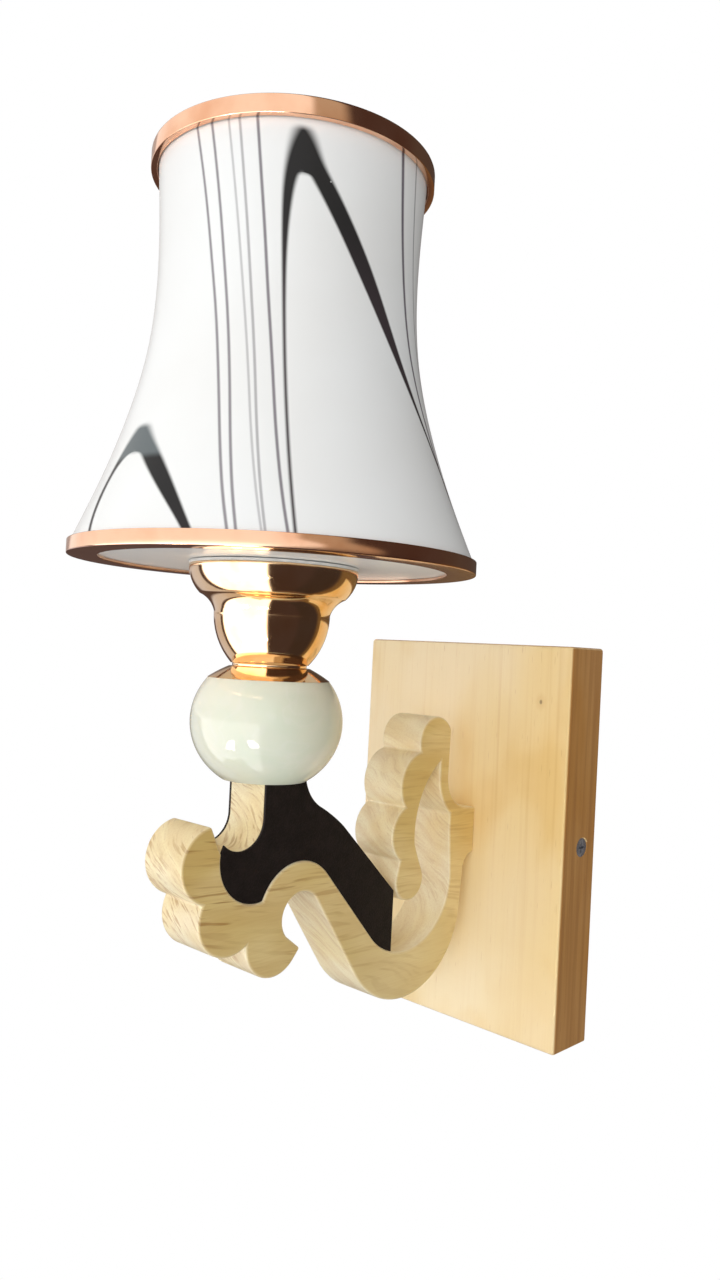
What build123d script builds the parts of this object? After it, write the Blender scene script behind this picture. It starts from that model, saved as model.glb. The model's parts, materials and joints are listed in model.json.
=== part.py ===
"""Wall lamp: a wooden wall plate, a carved arm and an upright lampholder under a glass shade.

Millimetres, +Z up. The wall is the plane Y = 0 and the lamp stands out towards -Y.
The origin is the middle of the wall plate's back, between the two wall screws.
"""

import os
from math import atan2, cos, hypot, pi, sin, sqrt

from build123d import *

os.makedirs("parts", exist_ok=True)

# General fits
loose_gap = 0.3  # between bodies that move apart
glue_gap = 0.1  # between glued or seated pieces of one body
shaft_gap = 0.05  # radial, round a screw or a tube in its hole

# Wall plate and what its back holds
plate_width = 115.0
plate_height = 170.0
plate_depth = 24.0
plate_round = 1.5
cavity_width = 88.0
cavity_height = 120.0
cavity_depth = 14.0
cavity_round = 8.0

bracket_height = 25.0
bracket_thickness = 2.0
bracket_reach = 13.0
bracket_bend = 3.0
wall_hole_radius = 2.5
wall_hole_spacing = 60.0
supply_hole_radius = 8.0

cover_screw_radius = 2.0
cover_screw_head_radius = 4.0
cover_screw_length = 20.0
cover_screw_setback = 9.5
cover_screw_sink = 0.4
cross_width = 1.1
cross_length = 4.6
cross_depth = 1.4

terminal_width = 22.0
terminal_height = 18.0
terminal_depth = 11.0
terminal_low = 26.0
terminal_round = 2.0
terminal_pitch = 11.0
terminal_well_radius = 2.4
terminal_well_depth = 6.0
terminal_screw_radius = 2.0
terminal_screw_length = 4.0
terminal_slot_width = 0.7
terminal_slot_depth = 0.8
wire_entry_radius = 2.0

# Arm: heights are from the middle of the plate, distances from the lamp's axis or from the plate's front
lamp_reach = 139.6
arm_thickness = 22.0
stem_thickness = 19.0
leather_thickness = 1.0

foot_low = -8.5
foot_high = 11.7
foot_screw_height = 1.6
foot_screw_spacing = 14.0
foot_screw_radius = 1.9
foot_screw_length = 24.0
foot_screw_head_radius = 3.6
foot_screw_head_height = 2.4
foot_screw_crown_radius = 2.2
foot_screw_cross_length = 3.6

stem_top = 29.7
stem_front = -7.6
stem_back = 12.1
stem_end = 51.5  # from the plate's front to the cut end of the dark brace
dowel_radius = 2.0
dowel_length = 16.0
dowel_spacing = 12.0
dowel_distances = (8.0, 34.0)  # along the joint between stem and scroll

# Circles of the arm's outline: (distance along the arm, height, radius)
front_lobes = [(-30.1, 3.2, 13.0), (-22.2, -18.5, 11.3), (-0.2, -29.2, 12.0)]
front_cusps = [(-33.5, -10.0), (-13.4, -27.3)]
front_corner = (-31.3, 16.6)
front_notch = (-26.7, 6.5)
saddle_circle = (-9.8, 4.1, 16.9)
arch_circle = (11.1, -19.0, 18.9)
eye_circle = (12.6, -21.0, 9.3)
curl_tip = (12.6, -32.5)
curl_tip_turn = 0.4  # radians
curl_notch_turn = 3.87
inner_turn = (-43.5, -17.2, 27.6)
outer_turn = (-43.3, -28.8, 35.5)
heel_corner = (-6.8, -16.7)
heel_step = (-5.4, -11.4)
throat_side = (-17.6, 3.0)
throat_turn = 0.1
neck_circle = (-5.3, 26.5, 14.4)
neck_width = 6.0
back_lobes = [(-28.5, 42.7, 10.0), (-38.5, 25.9, 11.2), (-43.5, 4.0, 10.9)]
back_cusps = [(-38.9, 37.7), (-47.2, 15.0), (-48.9, -6.7)]
back_lobe_end = (-19.3, 46.6)
back_edge = (-2.7, 3.5, 37.5)
drop_circle = (-42.5, -15.5, 8.5)
drop_left_turn = 2.8
drop_right_turn = 0.35
drop_waist = (-37.2, -6.9)
drop_start = (-39.9, -0.5)

stem_shoulder = (19.6, 19.6)
stem_shoulder_bend = (15.2, 23.4)
brace_shoulder = (33.2, 10.7)
brace_shoulder_bend = (26.8, 15.4)
brace_end_height = -18.6
stem_toe = (-25.2, 9.6)
stem_toe_circle = (-18.9, 17.5, 11.3)

# Cable inside the arm
cable_radius = 2.2
cable_tail = 3.0  # inside the terminal block
cable_rise = -7.5  # depth at which the cable climbs to the terminal block
channel_radius = 3.0
channel_drop = 8.0  # straight down from the tube
channel_knee = (27.0, 11.5)  # behind the lamp's axis, below the tube
channel_low_path = [(69.5, 24.0), (43.4, 39.3), (14.2, 22.8)]  # before the plate, below the inner turn's centre
channel_climb = (11.9, 15.6)  # before the plate, below the arm's screws
channel_overrun = 2.0
channel_bend_radii = [6.0, 18.0, 16.0, 22.0, 16.0, 12.0, 5.5]
cable_last_bend_radius = 5.5

# Turned column
tube_radius = 5.0
tube_bore = 3.4
insert_radius = 7.0
insert_depth = 14.0

ball_radius = 28.2
ball_swell = 25.8
ball_waist = 21.4
ball_height = 37.1

cap_height = 4.4
cap_low_radius = 22.6
cap_bend_radius = 19.0
cap_bend_height = 2.3
cap_top_radius = 15.0
metal_wall = 1.0
neck_ring_radius = 13.8
neck_ring_height = 1.2
neck_ring_round = 0.4

cup_height = 35.5
cup_foot_radius = 14.4
cup_belly_radius = 20.5
cup_belly_height = 11.1
cup_waist_radius = 21.5
cup_waist_height = 18.8
cup_flare_radius = 23.4
cup_flare_height = 22.4
cup_shoulder_radius = 27.0
cup_shoulder_height = 24.9
cup_bulge_radius = 30.3
cup_bulge_height = 28.2
cup_brim_radius = 31.4
cup_brim_height = 32.2
washer_radius = 10.0
washer_thickness = 1.5
nut_width = 14.0
nut_thickness = 5.0

# Lampholder
holder_radius = 19.7
holder_wall = 3.2
holder_rise = 11.6  # from the cup's foot to the holder's base
holder_base_height = 15.0
holder_foot_radius = 10.0
holder_body_height = 36.0
thread_depth = 0.8
thread_pitch = 2.5
thread_turns = 8
insulator_height = 5.0
insulator_radius = 15.8
shell_radius = 13.45
shell_wall = 0.4
shell_height = 22.0
tongue_width = 5.0
tongue_length = 18.0
tongue_thickness = 0.5

gasket_width = 3.0
gasket_thickness = 1.0
ring_width = 6.5
ring_height = 6.0
ring_flutes = 20
ring_flute_radius = 1.4

# Glass shade: (radius, height above its foot)
glass_wall = 3.5
glass_base = 3.5
shade_outline = [(73.2, 3.8), (65.2, 22.8), (56.4, 47.8), (50.3, 72.8), (47.9, 105.8), (49.7, 144.6)]
rim_wall = 1.0
low_rim_height = 5.0
low_rim_flange = 10.7
low_rim_round = 0.4
high_rim_height = 6.5
high_rim_wall = 2.3
high_rim_web = 2.4
high_rim_lip = 0.6
high_rim_round = 1.1

# Bulb
bulb_cap_radius = 12.3
bulb_ridge_radius = 13.1
bulb_cap_height = 22.0
bulb_ridge_pitch = 3.6
bulb_ridges = 4
bulb_button_radius = 4.5
bulb_button_height = 2.0
bulb_neck_radius = 11.5
bulb_radius = 18.5
bulb_belly_height = 30.0
bulb_height = 80.0
bulb_tip_radius = 3.0
bulb_wall = 1.0
bulb_neck_lean = (0.3, 1.0)
bulb_tip_lean = (-0.9, 1.0)
led_radius = 8.5
led_height = 4.0

# Heights and planes that follow from the sizes
plate_front = -plate_depth
cavity_floor = -cavity_depth
arm_side = arm_thickness / 2
stem_side = stem_thickness / 2
ball_low = stem_top
ball_high = ball_low + ball_height
cap_high = ball_high + cap_height
cup_low = cap_high + neck_ring_height
cup_high = cup_low + cup_height
glass_low = cup_high + gasket_thickness + loose_gap
glass_floor = glass_low + glass_base
glass_high = glass_low + shade_outline[-1][1]
ring_low = glass_floor + loose_gap
holder_low = cup_low + holder_rise
holder_split = holder_low + holder_base_height
holder_high = holder_split + holder_body_height
tube_low = stem_top - insert_depth
tube_high = holder_split - holder_wall
insulator_high = holder_split + insulator_height
tongue_high = insulator_high + tongue_thickness
button_low = tongue_high + loose_gap
bulb_cap_low = button_low + bulb_button_height
bulb_cap_high = bulb_cap_low + bulb_cap_height

lamp_axis = Axis((0, -lamp_reach, 0), (0, 0, 1))
lamp_plane = Plane((0, -lamp_reach, 0), x_dir=(1, 0, 0), z_dir=(0, -1, 0))


def from_axis(place):
    """A point or circle of the arm's outline that is measured from the lamp's axis."""
    return (place[0] - lamp_reach, *place[1:])


def from_plate(place):
    """A point or circle of the arm's outline that is measured from the plate's front."""
    return (place[0] + plate_front, *place[1:])


def grown(circle, amount):
    """A circle with its radius changed."""
    return (circle[0], circle[1], circle[2] + amount)


def on_circle(circle, angle):
    """The point of a circle, (y, z, radius), at an angle in radians."""
    return (circle[0] + circle[2] * cos(angle), circle[1] + circle[2] * sin(angle))


def bearing(center, point):
    """The angle from a centre to a point, in radians."""
    return atan2(point[1] - center[1], point[0] - center[0])


def arc_about(circle, start, end, turn):
    """An arc round a circle, (y, z, radius), anticlockwise for turn 1 and clockwise for turn -1."""
    first = bearing(circle, start)
    sweep_angle = (turn * (bearing(circle, end) - first)) % (2 * pi)
    ThreePointArc(start, on_circle(circle, first + turn * sweep_angle / 2), end)


def crossing(first, second, side):
    """Where two circles cross, on the left (1) or right (-1) of the line between their centres."""
    span = hypot(second[0] - first[0], second[1] - first[1])
    along = (span**2 + first[2] ** 2 - second[2] ** 2) / (2 * span)
    across = side * sqrt(first[2] ** 2 - along**2)
    ux = (second[0] - first[0]) / span
    uy = (second[1] - first[1]) / span
    return (first[0] + along * ux - across * uy, first[1] + along * uy + across * ux)


def cross_tangent(first, second):
    """The line that leaves one circle over its top and passes under the next one."""
    span = hypot(second[0] - first[0], second[1] - first[1])
    lean = (first[2] + second[2]) / span
    rise = sqrt(1 - lean**2)
    ux = (second[0] - first[0]) / span
    uy = (second[1] - first[1]) / span
    nx = ux * lean - uy * rise
    ny = uy * lean + ux * rise
    start = (first[0] + first[2] * nx, first[1] + first[2] * ny)
    end = (second[0] - second[2] * nx, second[1] - second[2] * ny)
    return start, end


# The joint line between scroll and stem: saddle, arch and the straight run down to the turn
saddle = from_axis(saddle_circle)
arch = from_axis(arch_circle)
inner = from_plate(inner_turn)
outer = from_plate(outer_turn)
neck = from_plate(neck_circle)
neck_root = (neck[0], neck[1] - neck[2])
run_start, run_end = cross_tangent(arch, inner)
run_length = hypot(run_end[0] - run_start[0], run_end[1] - run_start[1])
run_along = ((run_end[0] - run_start[0]) / run_length, (run_end[1] - run_start[1]) / run_length)


def draw_joint_line(gap, end):
    """The joint line from the stem's toe to a point of the inner turn, set back by a gap."""
    saddle_line = grown(saddle, -gap)
    arch_line = grown(arch, gap)
    turn_line = grown(inner, -gap)
    start = on_circle(saddle_line, bearing(saddle, from_axis(front_notch)))
    cusp = crossing(saddle_line, arch_line, -1)
    arch_end, turn_start = cross_tangent(arch_line, turn_line)
    arc_about(saddle_line, start, cusp, 1)
    arc_about(arch_line, cusp, arch_end, -1)
    Line(arch_end, turn_start)
    arc_about(turn_line, turn_start, end, 1)
    return start


def scroll_sketch():
    """Side outline of the S-shaped scroll, from its lobed front to its foot on the plate."""
    lobes = [from_axis(lobe) for lobe in front_lobes]
    cusps = [from_axis(cusp) for cusp in front_cusps]
    corner = from_axis(front_corner)
    tip = from_axis(curl_tip)
    tip_start = on_circle(lobes[2], bearing(lobes[2], tip) - curl_tip_turn)
    eye = from_axis(eye_circle)
    eye_start = on_circle(eye, curl_notch_turn)
    under_start, under_end = cross_tangent(eye, outer)
    heel_start = on_circle(outer, 0)
    heel = from_plate(heel_corner)
    throat = from_plate(throat_side)
    turn_stop = on_circle(inner, throat_turn)
    with BuildSketch(Plane.YZ) as outline:
        with BuildLine():
            arc_about(lobes[0], corner, cusps[0], 1)
            arc_about(lobes[1], cusps[0], cusps[1], 1)
            arc_about(lobes[2], cusps[1], tip_start, 1)
            Line(tip_start, tip)
            Line(tip, eye_start)
            arc_about(eye, eye_start, under_start, -1)
            Line(under_start, under_end)
            arc_about(outer, under_end, heel_start, 1)
            Line(heel_start, heel)
            ThreePointArc(heel, from_plate(heel_step), (plate_front, foot_low))
            Polyline((plate_front, foot_low), (plate_front, foot_high), neck_root, throat, turn_stop)
            start = draw_joint_line(0, turn_stop)
            Line(start, corner)
        make_face()
    return outline.sketch


def back_scroll_sketch():
    """Side outline of the C-shaped scroll that rises from the foot, with its neck."""
    lobes = [from_plate(lobe) for lobe in back_lobes]
    cusps = [from_plate(cusp) for cusp in back_cusps]
    lobe_end = from_plate(back_lobe_end)
    drop = from_plate(drop_circle)
    drop_left = on_circle(drop, drop_left_turn)
    drop_right = on_circle(drop, drop_right_turn)
    edge = from_plate(back_edge)
    edge_start = from_plate(drop_start)
    neck_inside = grown(neck, neck_width)
    neck_side = (neck[0] - neck[2], neck[1])
    inside_side = (neck[0] - neck_inside[2], neck[1])
    crotch = (inside_side[0], edge[1] + sqrt(edge[2] ** 2 - (inside_side[0] - edge[0]) ** 2))
    throat = from_plate(throat_side)
    root_drop = sqrt(neck_inside[2] ** 2 - (throat[0] - neck[0]) ** 2)
    root_inside = (throat[0], neck[1] - root_drop)
    with BuildSketch(Plane.YZ) as outline:
        with BuildLine():
            arc_about(neck, neck_root, neck_side, -1)
            Line(neck_side, lobe_end)
            arc_about(lobes[0], lobe_end, cusps[0], 1)
            arc_about(lobes[1], cusps[0], cusps[1], 1)
            arc_about(lobes[2], cusps[1], cusps[2], 1)
            Line(cusps[2], drop_left)
            arc_about(drop, drop_left, drop_right, 1)
            ThreePointArc(drop_right, from_plate(drop_waist), edge_start)
            arc_about(edge, edge_start, crotch, -1)
            Line(crotch, inside_side)
            arc_about(neck_inside, inside_side, root_inside, 1)
            Polyline(root_inside, throat, (neck_root[0], throat[1]), neck_root)
        make_face()
    return outline.sketch


def stem_sketch():
    """Side outline of the stem and its dark brace, seated on the scroll's joint line."""
    front = stem_front - lamp_reach
    back = stem_back - lamp_reach
    toe_curve = from_axis(stem_toe_circle)
    toe = from_axis(stem_toe)
    end_y = plate_front - stem_end
    seat = grown(inner, -glue_gap)
    end_low = (end_y, seat[1] - sqrt(seat[2] ** 2 - (end_y - seat[0]) ** 2))
    end_high = (end_y, brace_end_height)
    shoulder = from_axis(stem_shoulder)
    elbow = from_axis(brace_shoulder)
    with BuildSketch(Plane.YZ) as outline:
        with BuildLine():
            start = draw_joint_line(glue_gap, end_low)
            Polyline(end_low, end_high, elbow)
            ThreePointArc(elbow, from_axis(brace_shoulder_bend), shoulder)
            ThreePointArc(shoulder, from_axis(stem_shoulder_bend), (back, stem_top))
            Polyline((back, stem_top), (front, stem_top), (front, toe_curve[1]))
            arc_about(toe_curve, (front, toe_curve[1]), toe, -1)
            Line(toe, start)
        make_face()
    return outline.sketch


def cable_route(points, radii):
    """A path in the arm's middle plane: straight runs joined by tangent arcs."""
    with BuildLine() as path:
        FilletPolyline(*[(0, y, z) for y, z in points], radius=radii)
    return path.line


# The channel leaves the stem's top, crosses into the scroll, rounds the turn and leaves through the foot
channel_points = [
    (-lamp_reach, tube_low),
    (-lamp_reach, tube_low - channel_drop),
    (-lamp_reach + channel_knee[0], tube_low - channel_knee[1]),
    *[(plate_front - before, inner_turn[1] - below) for before, below in channel_low_path],
    (plate_front - channel_climb[0], foot_screw_height - channel_climb[1]),
    (plate_front - channel_climb[0], foot_screw_height),
    (plate_front + channel_overrun, foot_screw_height),
]
cable_points = [
    (-lamp_reach, tube_high - cable_tail),
    *channel_points[1:-1],
    (cable_rise, foot_screw_height),
    (cable_rise, terminal_low + cable_tail),
]
cable_bend_radii = [*channel_bend_radii, cable_last_bend_radius]


def bore_channel():
    """Cut the cable's channel out of the part that is being made."""
    path = cable_route(channel_points, channel_bend_radii)
    with BuildSketch(Plane(path @ 0, z_dir=path % 0)) as section:
        Circle(channel_radius)
    sweep(section.sketch, path=path, mode=Mode.SUBTRACT)


def turn_ring(inner, outer, low, high, mode=Mode.ADD):
    """A plain ring about the lamp's axis."""
    with BuildSketch(lamp_plane) as section:
        with Locations(((inner + outer) / 2, (low + high) / 2)):
            Rectangle(outer - inner, high - low)
    revolve(section.sketch, axis=lamp_axis, mode=mode)


def turn_profile(points, mode=Mode.ADD):
    """A straight-sided profile, (radius, height), turned about the lamp's axis."""
    with BuildSketch(lamp_plane) as section:
        with BuildLine():
            Polyline(*points, close=True)
        make_face()
    revolve(section.sketch, axis=lamp_axis, mode=mode)


# Wall plate: a pine board, hollowed from behind, with a screw through each side
with BuildPart() as back_plate:
    with BuildSketch(Plane.XZ):
        Rectangle(plate_width, plate_height)
    extrude(amount=plate_depth)
    front_face = back_plate.faces().sort_by(Axis.Y)[0]
    fillet(back_plate.edges().filter_by(Axis.Y) + front_face.edges(), radius=plate_round)
    with BuildSketch(Plane.XZ):
        RectangleRounded(cavity_width, cavity_height, cavity_round)
    extrude(amount=cavity_depth, mode=Mode.SUBTRACT)
    for side in (1, -1):
        with Locations(Plane((side * plate_width / 2, -cover_screw_setback, 0), z_dir=(side, 0, 0))):
            CounterSinkHole(
                radius=cover_screw_radius + shaft_gap,
                counter_sink_radius=cover_screw_head_radius + cover_screw_sink + shaft_gap,
                depth=(plate_width - cavity_width) / 2,
                counter_sink_angle=90,
            )
    with Locations(Plane((0, cavity_floor, foot_screw_height), x_dir=(1, 0, 0), z_dir=(0, 1, 0))):
        Hole(channel_radius, depth=plate_depth)
        with Locations((foot_screw_spacing / 2, 0), (-foot_screw_spacing / 2, 0)):
            Hole(foot_screw_radius + shaft_gap, depth=plate_depth)
back_plate.part.label = "back_plate"
export_step(back_plate.part, "parts/back_plate.step")

# Wall bracket: a steel strap with its two ends bent forward inside the plate's hollow
bracket_half = cavity_width / 2 - loose_gap
with BuildPart() as wall_bracket:
    with BuildSketch(Plane.XY):
        Rectangle(2 * bracket_half, bracket_reach, align=(Align.CENTER, Align.MAX))
        with Locations((0, -bracket_thickness)):
            Rectangle(
                2 * (bracket_half - bracket_thickness),
                bracket_reach,
                align=(Align.CENTER, Align.MAX),
                mode=Mode.SUBTRACT,
            )
    extrude(amount=bracket_height / 2, both=True)
    bends = wall_bracket.edges().filter_by(Axis.Z).group_by(Axis.Y)
    fillet(bends[-1], radius=bracket_bend)
    fillet(bends[-2], radius=bracket_bend - bracket_thickness)
    with Locations(Plane.XZ):
        Hole(supply_hole_radius, depth=bracket_thickness)
        with Locations((wall_hole_spacing / 2, 0), (-wall_hole_spacing / 2, 0)):
            Hole(wall_hole_radius, depth=bracket_thickness)
    with Locations(Plane((0, -cover_screw_setback, 0), z_dir=(1, 0, 0))):
        Hole(cover_screw_radius + shaft_gap)
wall_bracket.part.label = "wall_bracket"
export_step(wall_bracket.part, "parts/wall_bracket.step")

# Cover screws: countersunk, one through each side of the plate into the bracket
head_face = plate_width / 2 - cover_screw_sink
head_root = head_face - cover_screw_head_radius + cover_screw_radius
screw_end = head_face - cover_screw_length
with BuildPart() as cover_screws:
    with BuildSketch(Plane((0, -cover_screw_setback, 0))):
        with BuildLine():
            Polyline(
                (head_face, 0),
                (head_face, cover_screw_head_radius),
                (head_root, cover_screw_radius),
                (screw_end + cover_screw_radius, cover_screw_radius),
                (screw_end, cover_screw_radius / 2),
                (screw_end, 0),
                close=True,
            )
        make_face()
    revolve(axis=Axis((0, -cover_screw_setback, 0), (1, 0, 0)))
    with Locations((head_face, -cover_screw_setback, 0)):
        Box(2 * cross_depth, cross_width, cross_length, mode=Mode.SUBTRACT)
        Box(2 * cross_depth, cross_length, cross_width, mode=Mode.SUBTRACT)
    mirror(about=Plane.YZ)
cover_screws.part.label = "cover_screws"
export_step(cover_screws.part, "parts/cover_screws.step")

# Arm screws: two wood screws from the plate's hollow into the foot of the arm
screw_x = foot_screw_spacing / 2
screw_bite = foot_screw_length - (plate_depth - cavity_depth)
with BuildPart() as arm_screws:
    with BuildSketch(Plane.XY.offset(foot_screw_height)):
        with BuildLine():
            Polyline(
                (screw_x, cavity_floor + foot_screw_head_height),
                (screw_x + foot_screw_crown_radius, cavity_floor + foot_screw_head_height),
                (screw_x + foot_screw_head_radius, cavity_floor + foot_screw_head_height / 2),
                (screw_x + foot_screw_head_radius, cavity_floor),
                (screw_x + foot_screw_radius, cavity_floor),
                (screw_x + foot_screw_radius, cavity_floor - foot_screw_length + 2 * foot_screw_radius),
                (screw_x, cavity_floor - foot_screw_length),
                close=True,
            )
        make_face()
    revolve(axis=Axis((screw_x, 0, foot_screw_height), (0, 1, 0)))
    with Locations((screw_x, cavity_floor + foot_screw_head_height, foot_screw_height)):
        Box(cross_width, 2 * cross_depth, foot_screw_cross_length, mode=Mode.SUBTRACT)
        Box(foot_screw_cross_length, 2 * cross_depth, cross_width, mode=Mode.SUBTRACT)
    mirror(about=Plane.YZ)
arm_screws.part.label = "arm_screws"
export_step(arm_screws.part, "parts/arm_screws.step")

# Terminal block: joins the lamp's cable to the wires from the wall
terminal_back = cavity_floor + terminal_depth
terminal_middle = terminal_low + terminal_height / 2
terminal_rows = [
    (column * terminal_pitch / 2, row * terminal_height / 4) for column in (-1, 1) for row in (-1, 1)
]
with BuildPart() as terminal_block:
    with BuildSketch(Plane.XZ.offset(-cavity_floor)):
        with Locations((0, terminal_middle)):
            RectangleRounded(terminal_width, terminal_height, terminal_round)
    extrude(amount=-terminal_depth)
    with Locations(Plane((0, terminal_back, terminal_middle), x_dir=(1, 0, 0), z_dir=(0, 1, 0))):
        with Locations(*terminal_rows):
            Hole(terminal_well_radius, depth=terminal_well_depth)
    with Locations(Plane((0, cable_rise, terminal_low + terminal_height), z_dir=(0, 0, 1))):
        with Locations((-terminal_pitch / 2, 0), (terminal_pitch / 2, 0)):
            Hole(wire_entry_radius, depth=terminal_height / 2)
    with Locations(Plane((0, cable_rise, terminal_low), z_dir=(0, 0, -1))):
        Hole(cable_radius + glue_gap, depth=cable_tail)
terminal_block.part.label = "terminal_block"
export_step(terminal_block.part, "parts/terminal_block.step")

# Terminal screws: four slotted clamping screws in the block
well_floor = terminal_back - terminal_well_depth
with BuildPart() as terminal_screws:
    with BuildSketch(Plane.XZ.offset(-well_floor)):
        with Locations((0, terminal_middle)):
            with Locations(*terminal_rows):
                Circle(terminal_screw_radius)
    extrude(amount=-terminal_screw_length)
    with BuildSketch(Plane.XZ.offset(-well_floor - terminal_screw_length)):
        with Locations((0, terminal_middle)):
            with Locations(*terminal_rows):
                Rectangle(2 * terminal_screw_radius, terminal_slot_width)
    extrude(amount=terminal_slot_depth, mode=Mode.SUBTRACT)
terminal_screws.part.label = "terminal_screws"
export_step(terminal_screws.part, "parts/terminal_screws.step")

# Arm scroll: one carved board with the lobed front, the turn, the foot and the C-shaped back scroll
dowel_across = (0, -run_along[1], run_along[0])
dowel_planes = [
    Plane(
        (
            side * dowel_spacing / 2,
            run_start[0] + distance * run_along[0],
            run_start[1] + distance * run_along[1],
        ),
        x_dir=(1, 0, 0),
        z_dir=dowel_across,
    )
    for distance in dowel_distances
    for side in (1, -1)
]


def bore_dowel_holes():
    """Cut the dowels' holes out of the part that is being made."""
    with Locations(*dowel_planes):
        Cylinder(dowel_radius + shaft_gap, dowel_length, mode=Mode.SUBTRACT)


with BuildPart() as arm_scroll:
    extrude(scroll_sketch(), amount=arm_side, both=True)
    extrude(back_scroll_sketch(), amount=arm_side, both=True)
    bore_channel()
    bore_dowel_holes()
    with Locations(Plane((0, plate_front, foot_screw_height), x_dir=(1, 0, 0), z_dir=(0, 1, 0))):
        with Locations((foot_screw_spacing / 2, 0), (-foot_screw_spacing / 2, 0)):
            Hole(foot_screw_radius + shaft_gap, depth=screw_bite + shaft_gap)
arm_scroll.part.label = "arm_scroll"
export_step(arm_scroll.part, "parts/arm_scroll.step")

# Stem board: the upright under the ball and the slanting brace, glued on the scroll
with BuildPart() as stem_board:
    extrude(stem_sketch(), amount=stem_side, both=True)
    turn_ring(0, insert_radius + shaft_gap, stem_top - insert_depth - glue_gap, stem_top, mode=Mode.SUBTRACT)
    bore_channel()
    bore_dowel_holes()
stem_board.part.label = "stem_board"
export_step(stem_board.part, "parts/stem_board.step")

# Leather panels: a dark skin on each side of the stem board
with BuildPart() as leather_right:
    extrude(stem_sketch().moved(Location((stem_side, 0, 0))), amount=leather_thickness)
leather_right.part.label = "leather_right"
export_step(leather_right.part, "parts/leather_right.step")

with BuildPart() as leather_left:
    extrude(stem_sketch().moved(Location((-stem_side, 0, 0))), amount=-leather_thickness)
leather_left.part.label = "leather_left"
export_step(leather_left.part, "parts/leather_left.step")

# Dowels: four beech pins across the joint between stem and scroll
with BuildPart() as arm_dowels:
    with Locations(*dowel_planes):
        Cylinder(dowel_radius, dowel_length - 2 * glue_gap)
arm_dowels.part.label = "arm_dowels"
export_step(arm_dowels.part, "parts/arm_dowels.step")

# Cable: two cores in one sheath, from the lampholder through the tube and the arm to the terminal block
cable_line = cable_route(cable_points, cable_bend_radii)
with BuildPart() as lead_cable:
    with BuildSketch(Plane(cable_line @ 0, z_dir=cable_line % 0)) as cable_section:
        Circle(cable_radius)
    sweep(path=cable_line)
lead_cable.part.label = "lead_cable"
export_step(lead_cable.part, "parts/lead_cable.step")

# Threaded insert: a brass bush let into the top of the stem
with BuildPart() as stem_insert:
    turn_ring(tube_radius + shaft_gap, insert_radius, tube_low, stem_top)
stem_insert.part.label = "stem_insert"
export_step(stem_insert.part, "parts/stem_insert.step")

# Threaded tube: the hollow rod that clamps ball, cap and cup on the stem and carries the lampholder
with BuildPart() as threaded_tube:
    turn_ring(tube_bore, tube_radius, tube_low, tube_high)
    chamfer(threaded_tube.edges().filter_by(GeomType.CIRCLE).group_by(Axis.Z)[-1], length=metal_wall / 2)
threaded_tube.part.label = "threaded_tube"
export_step(threaded_tube.part, "parts/threaded_tube.step")

# Ball: turned from pale glass, flat below and above, bored for the tube
with BuildPart() as ball:
    with BuildSketch(lamp_plane):
        with Locations((0, ball_low + ball_waist)):
            Ellipse(ball_radius, ball_swell)
        with Locations((tube_radius + shaft_gap, ball_low)):
            Rectangle(ball_radius, ball_height, align=(Align.MIN, Align.MIN), mode=Mode.INTERSECT)
    revolve(axis=lamp_axis)
ball.part.label = "ball"
export_step(ball.part, "parts/ball.step")


def ball_cap_line(inset):
    """Half section of the cap, from its lip up to its neck."""
    return [
        (cap_low_radius - inset, ball_high),
        (cap_bend_radius - inset, ball_high + cap_bend_height - inset / 2),
        (cap_top_radius - inset, cap_high - inset),
    ]


# Ball cap: a spun metal dish on top of the ball
with BuildPart() as ball_cap:
    with BuildSketch(lamp_plane):
        with BuildLine():
            ThreePointArc(*ball_cap_line(0))
            Polyline(
                (cap_top_radius, cap_high),
                (tube_radius + shaft_gap, cap_high),
                (tube_radius + shaft_gap, cap_high - metal_wall),
                (cap_top_radius - metal_wall, cap_high - metal_wall),
            )
            ThreePointArc(*reversed(ball_cap_line(metal_wall)))
            Line((cap_low_radius - metal_wall, ball_high), (cap_low_radius, ball_high))
        make_face()
    revolve(axis=lamp_axis)
ball_cap.part.label = "ball_cap"
export_step(ball_cap.part, "parts/ball_cap.step")

# Neck ring: the narrow bead between cap and cup
with BuildPart() as neck_ring:
    turn_ring(tube_radius + shaft_gap, neck_ring_radius, cap_high, cup_low)
    fillet(neck_ring.edges().filter_by(GeomType.CIRCLE).group_by(SortBy.RADIUS)[-1], radius=neck_ring_round)
neck_ring.part.label = "neck_ring"
export_step(neck_ring.part, "parts/neck_ring.step")


def draw_cup_side(inset, foot):
    """Half section of the cup's side: a bowl, a flare and an upright brim."""
    ThreePointArc(
        (cup_foot_radius - inset, foot),
        (cup_belly_radius - inset, cup_low + cup_belly_height),
        (cup_waist_radius - inset, cup_low + cup_waist_height),
    )
    ThreePointArc(
        (cup_waist_radius - inset, cup_low + cup_waist_height),
        (cup_flare_radius - inset, cup_low + cup_flare_height),
        (cup_shoulder_radius - inset, cup_low + cup_shoulder_height),
    )
    ThreePointArc(
        (cup_shoulder_radius - inset, cup_low + cup_shoulder_height),
        (cup_bulge_radius - inset, cup_low + cup_bulge_height),
        (cup_brim_radius - inset, cup_low + cup_brim_height),
    )
    Line((cup_brim_radius - inset, cup_low + cup_brim_height), (cup_brim_radius - inset, cup_high))


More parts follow.
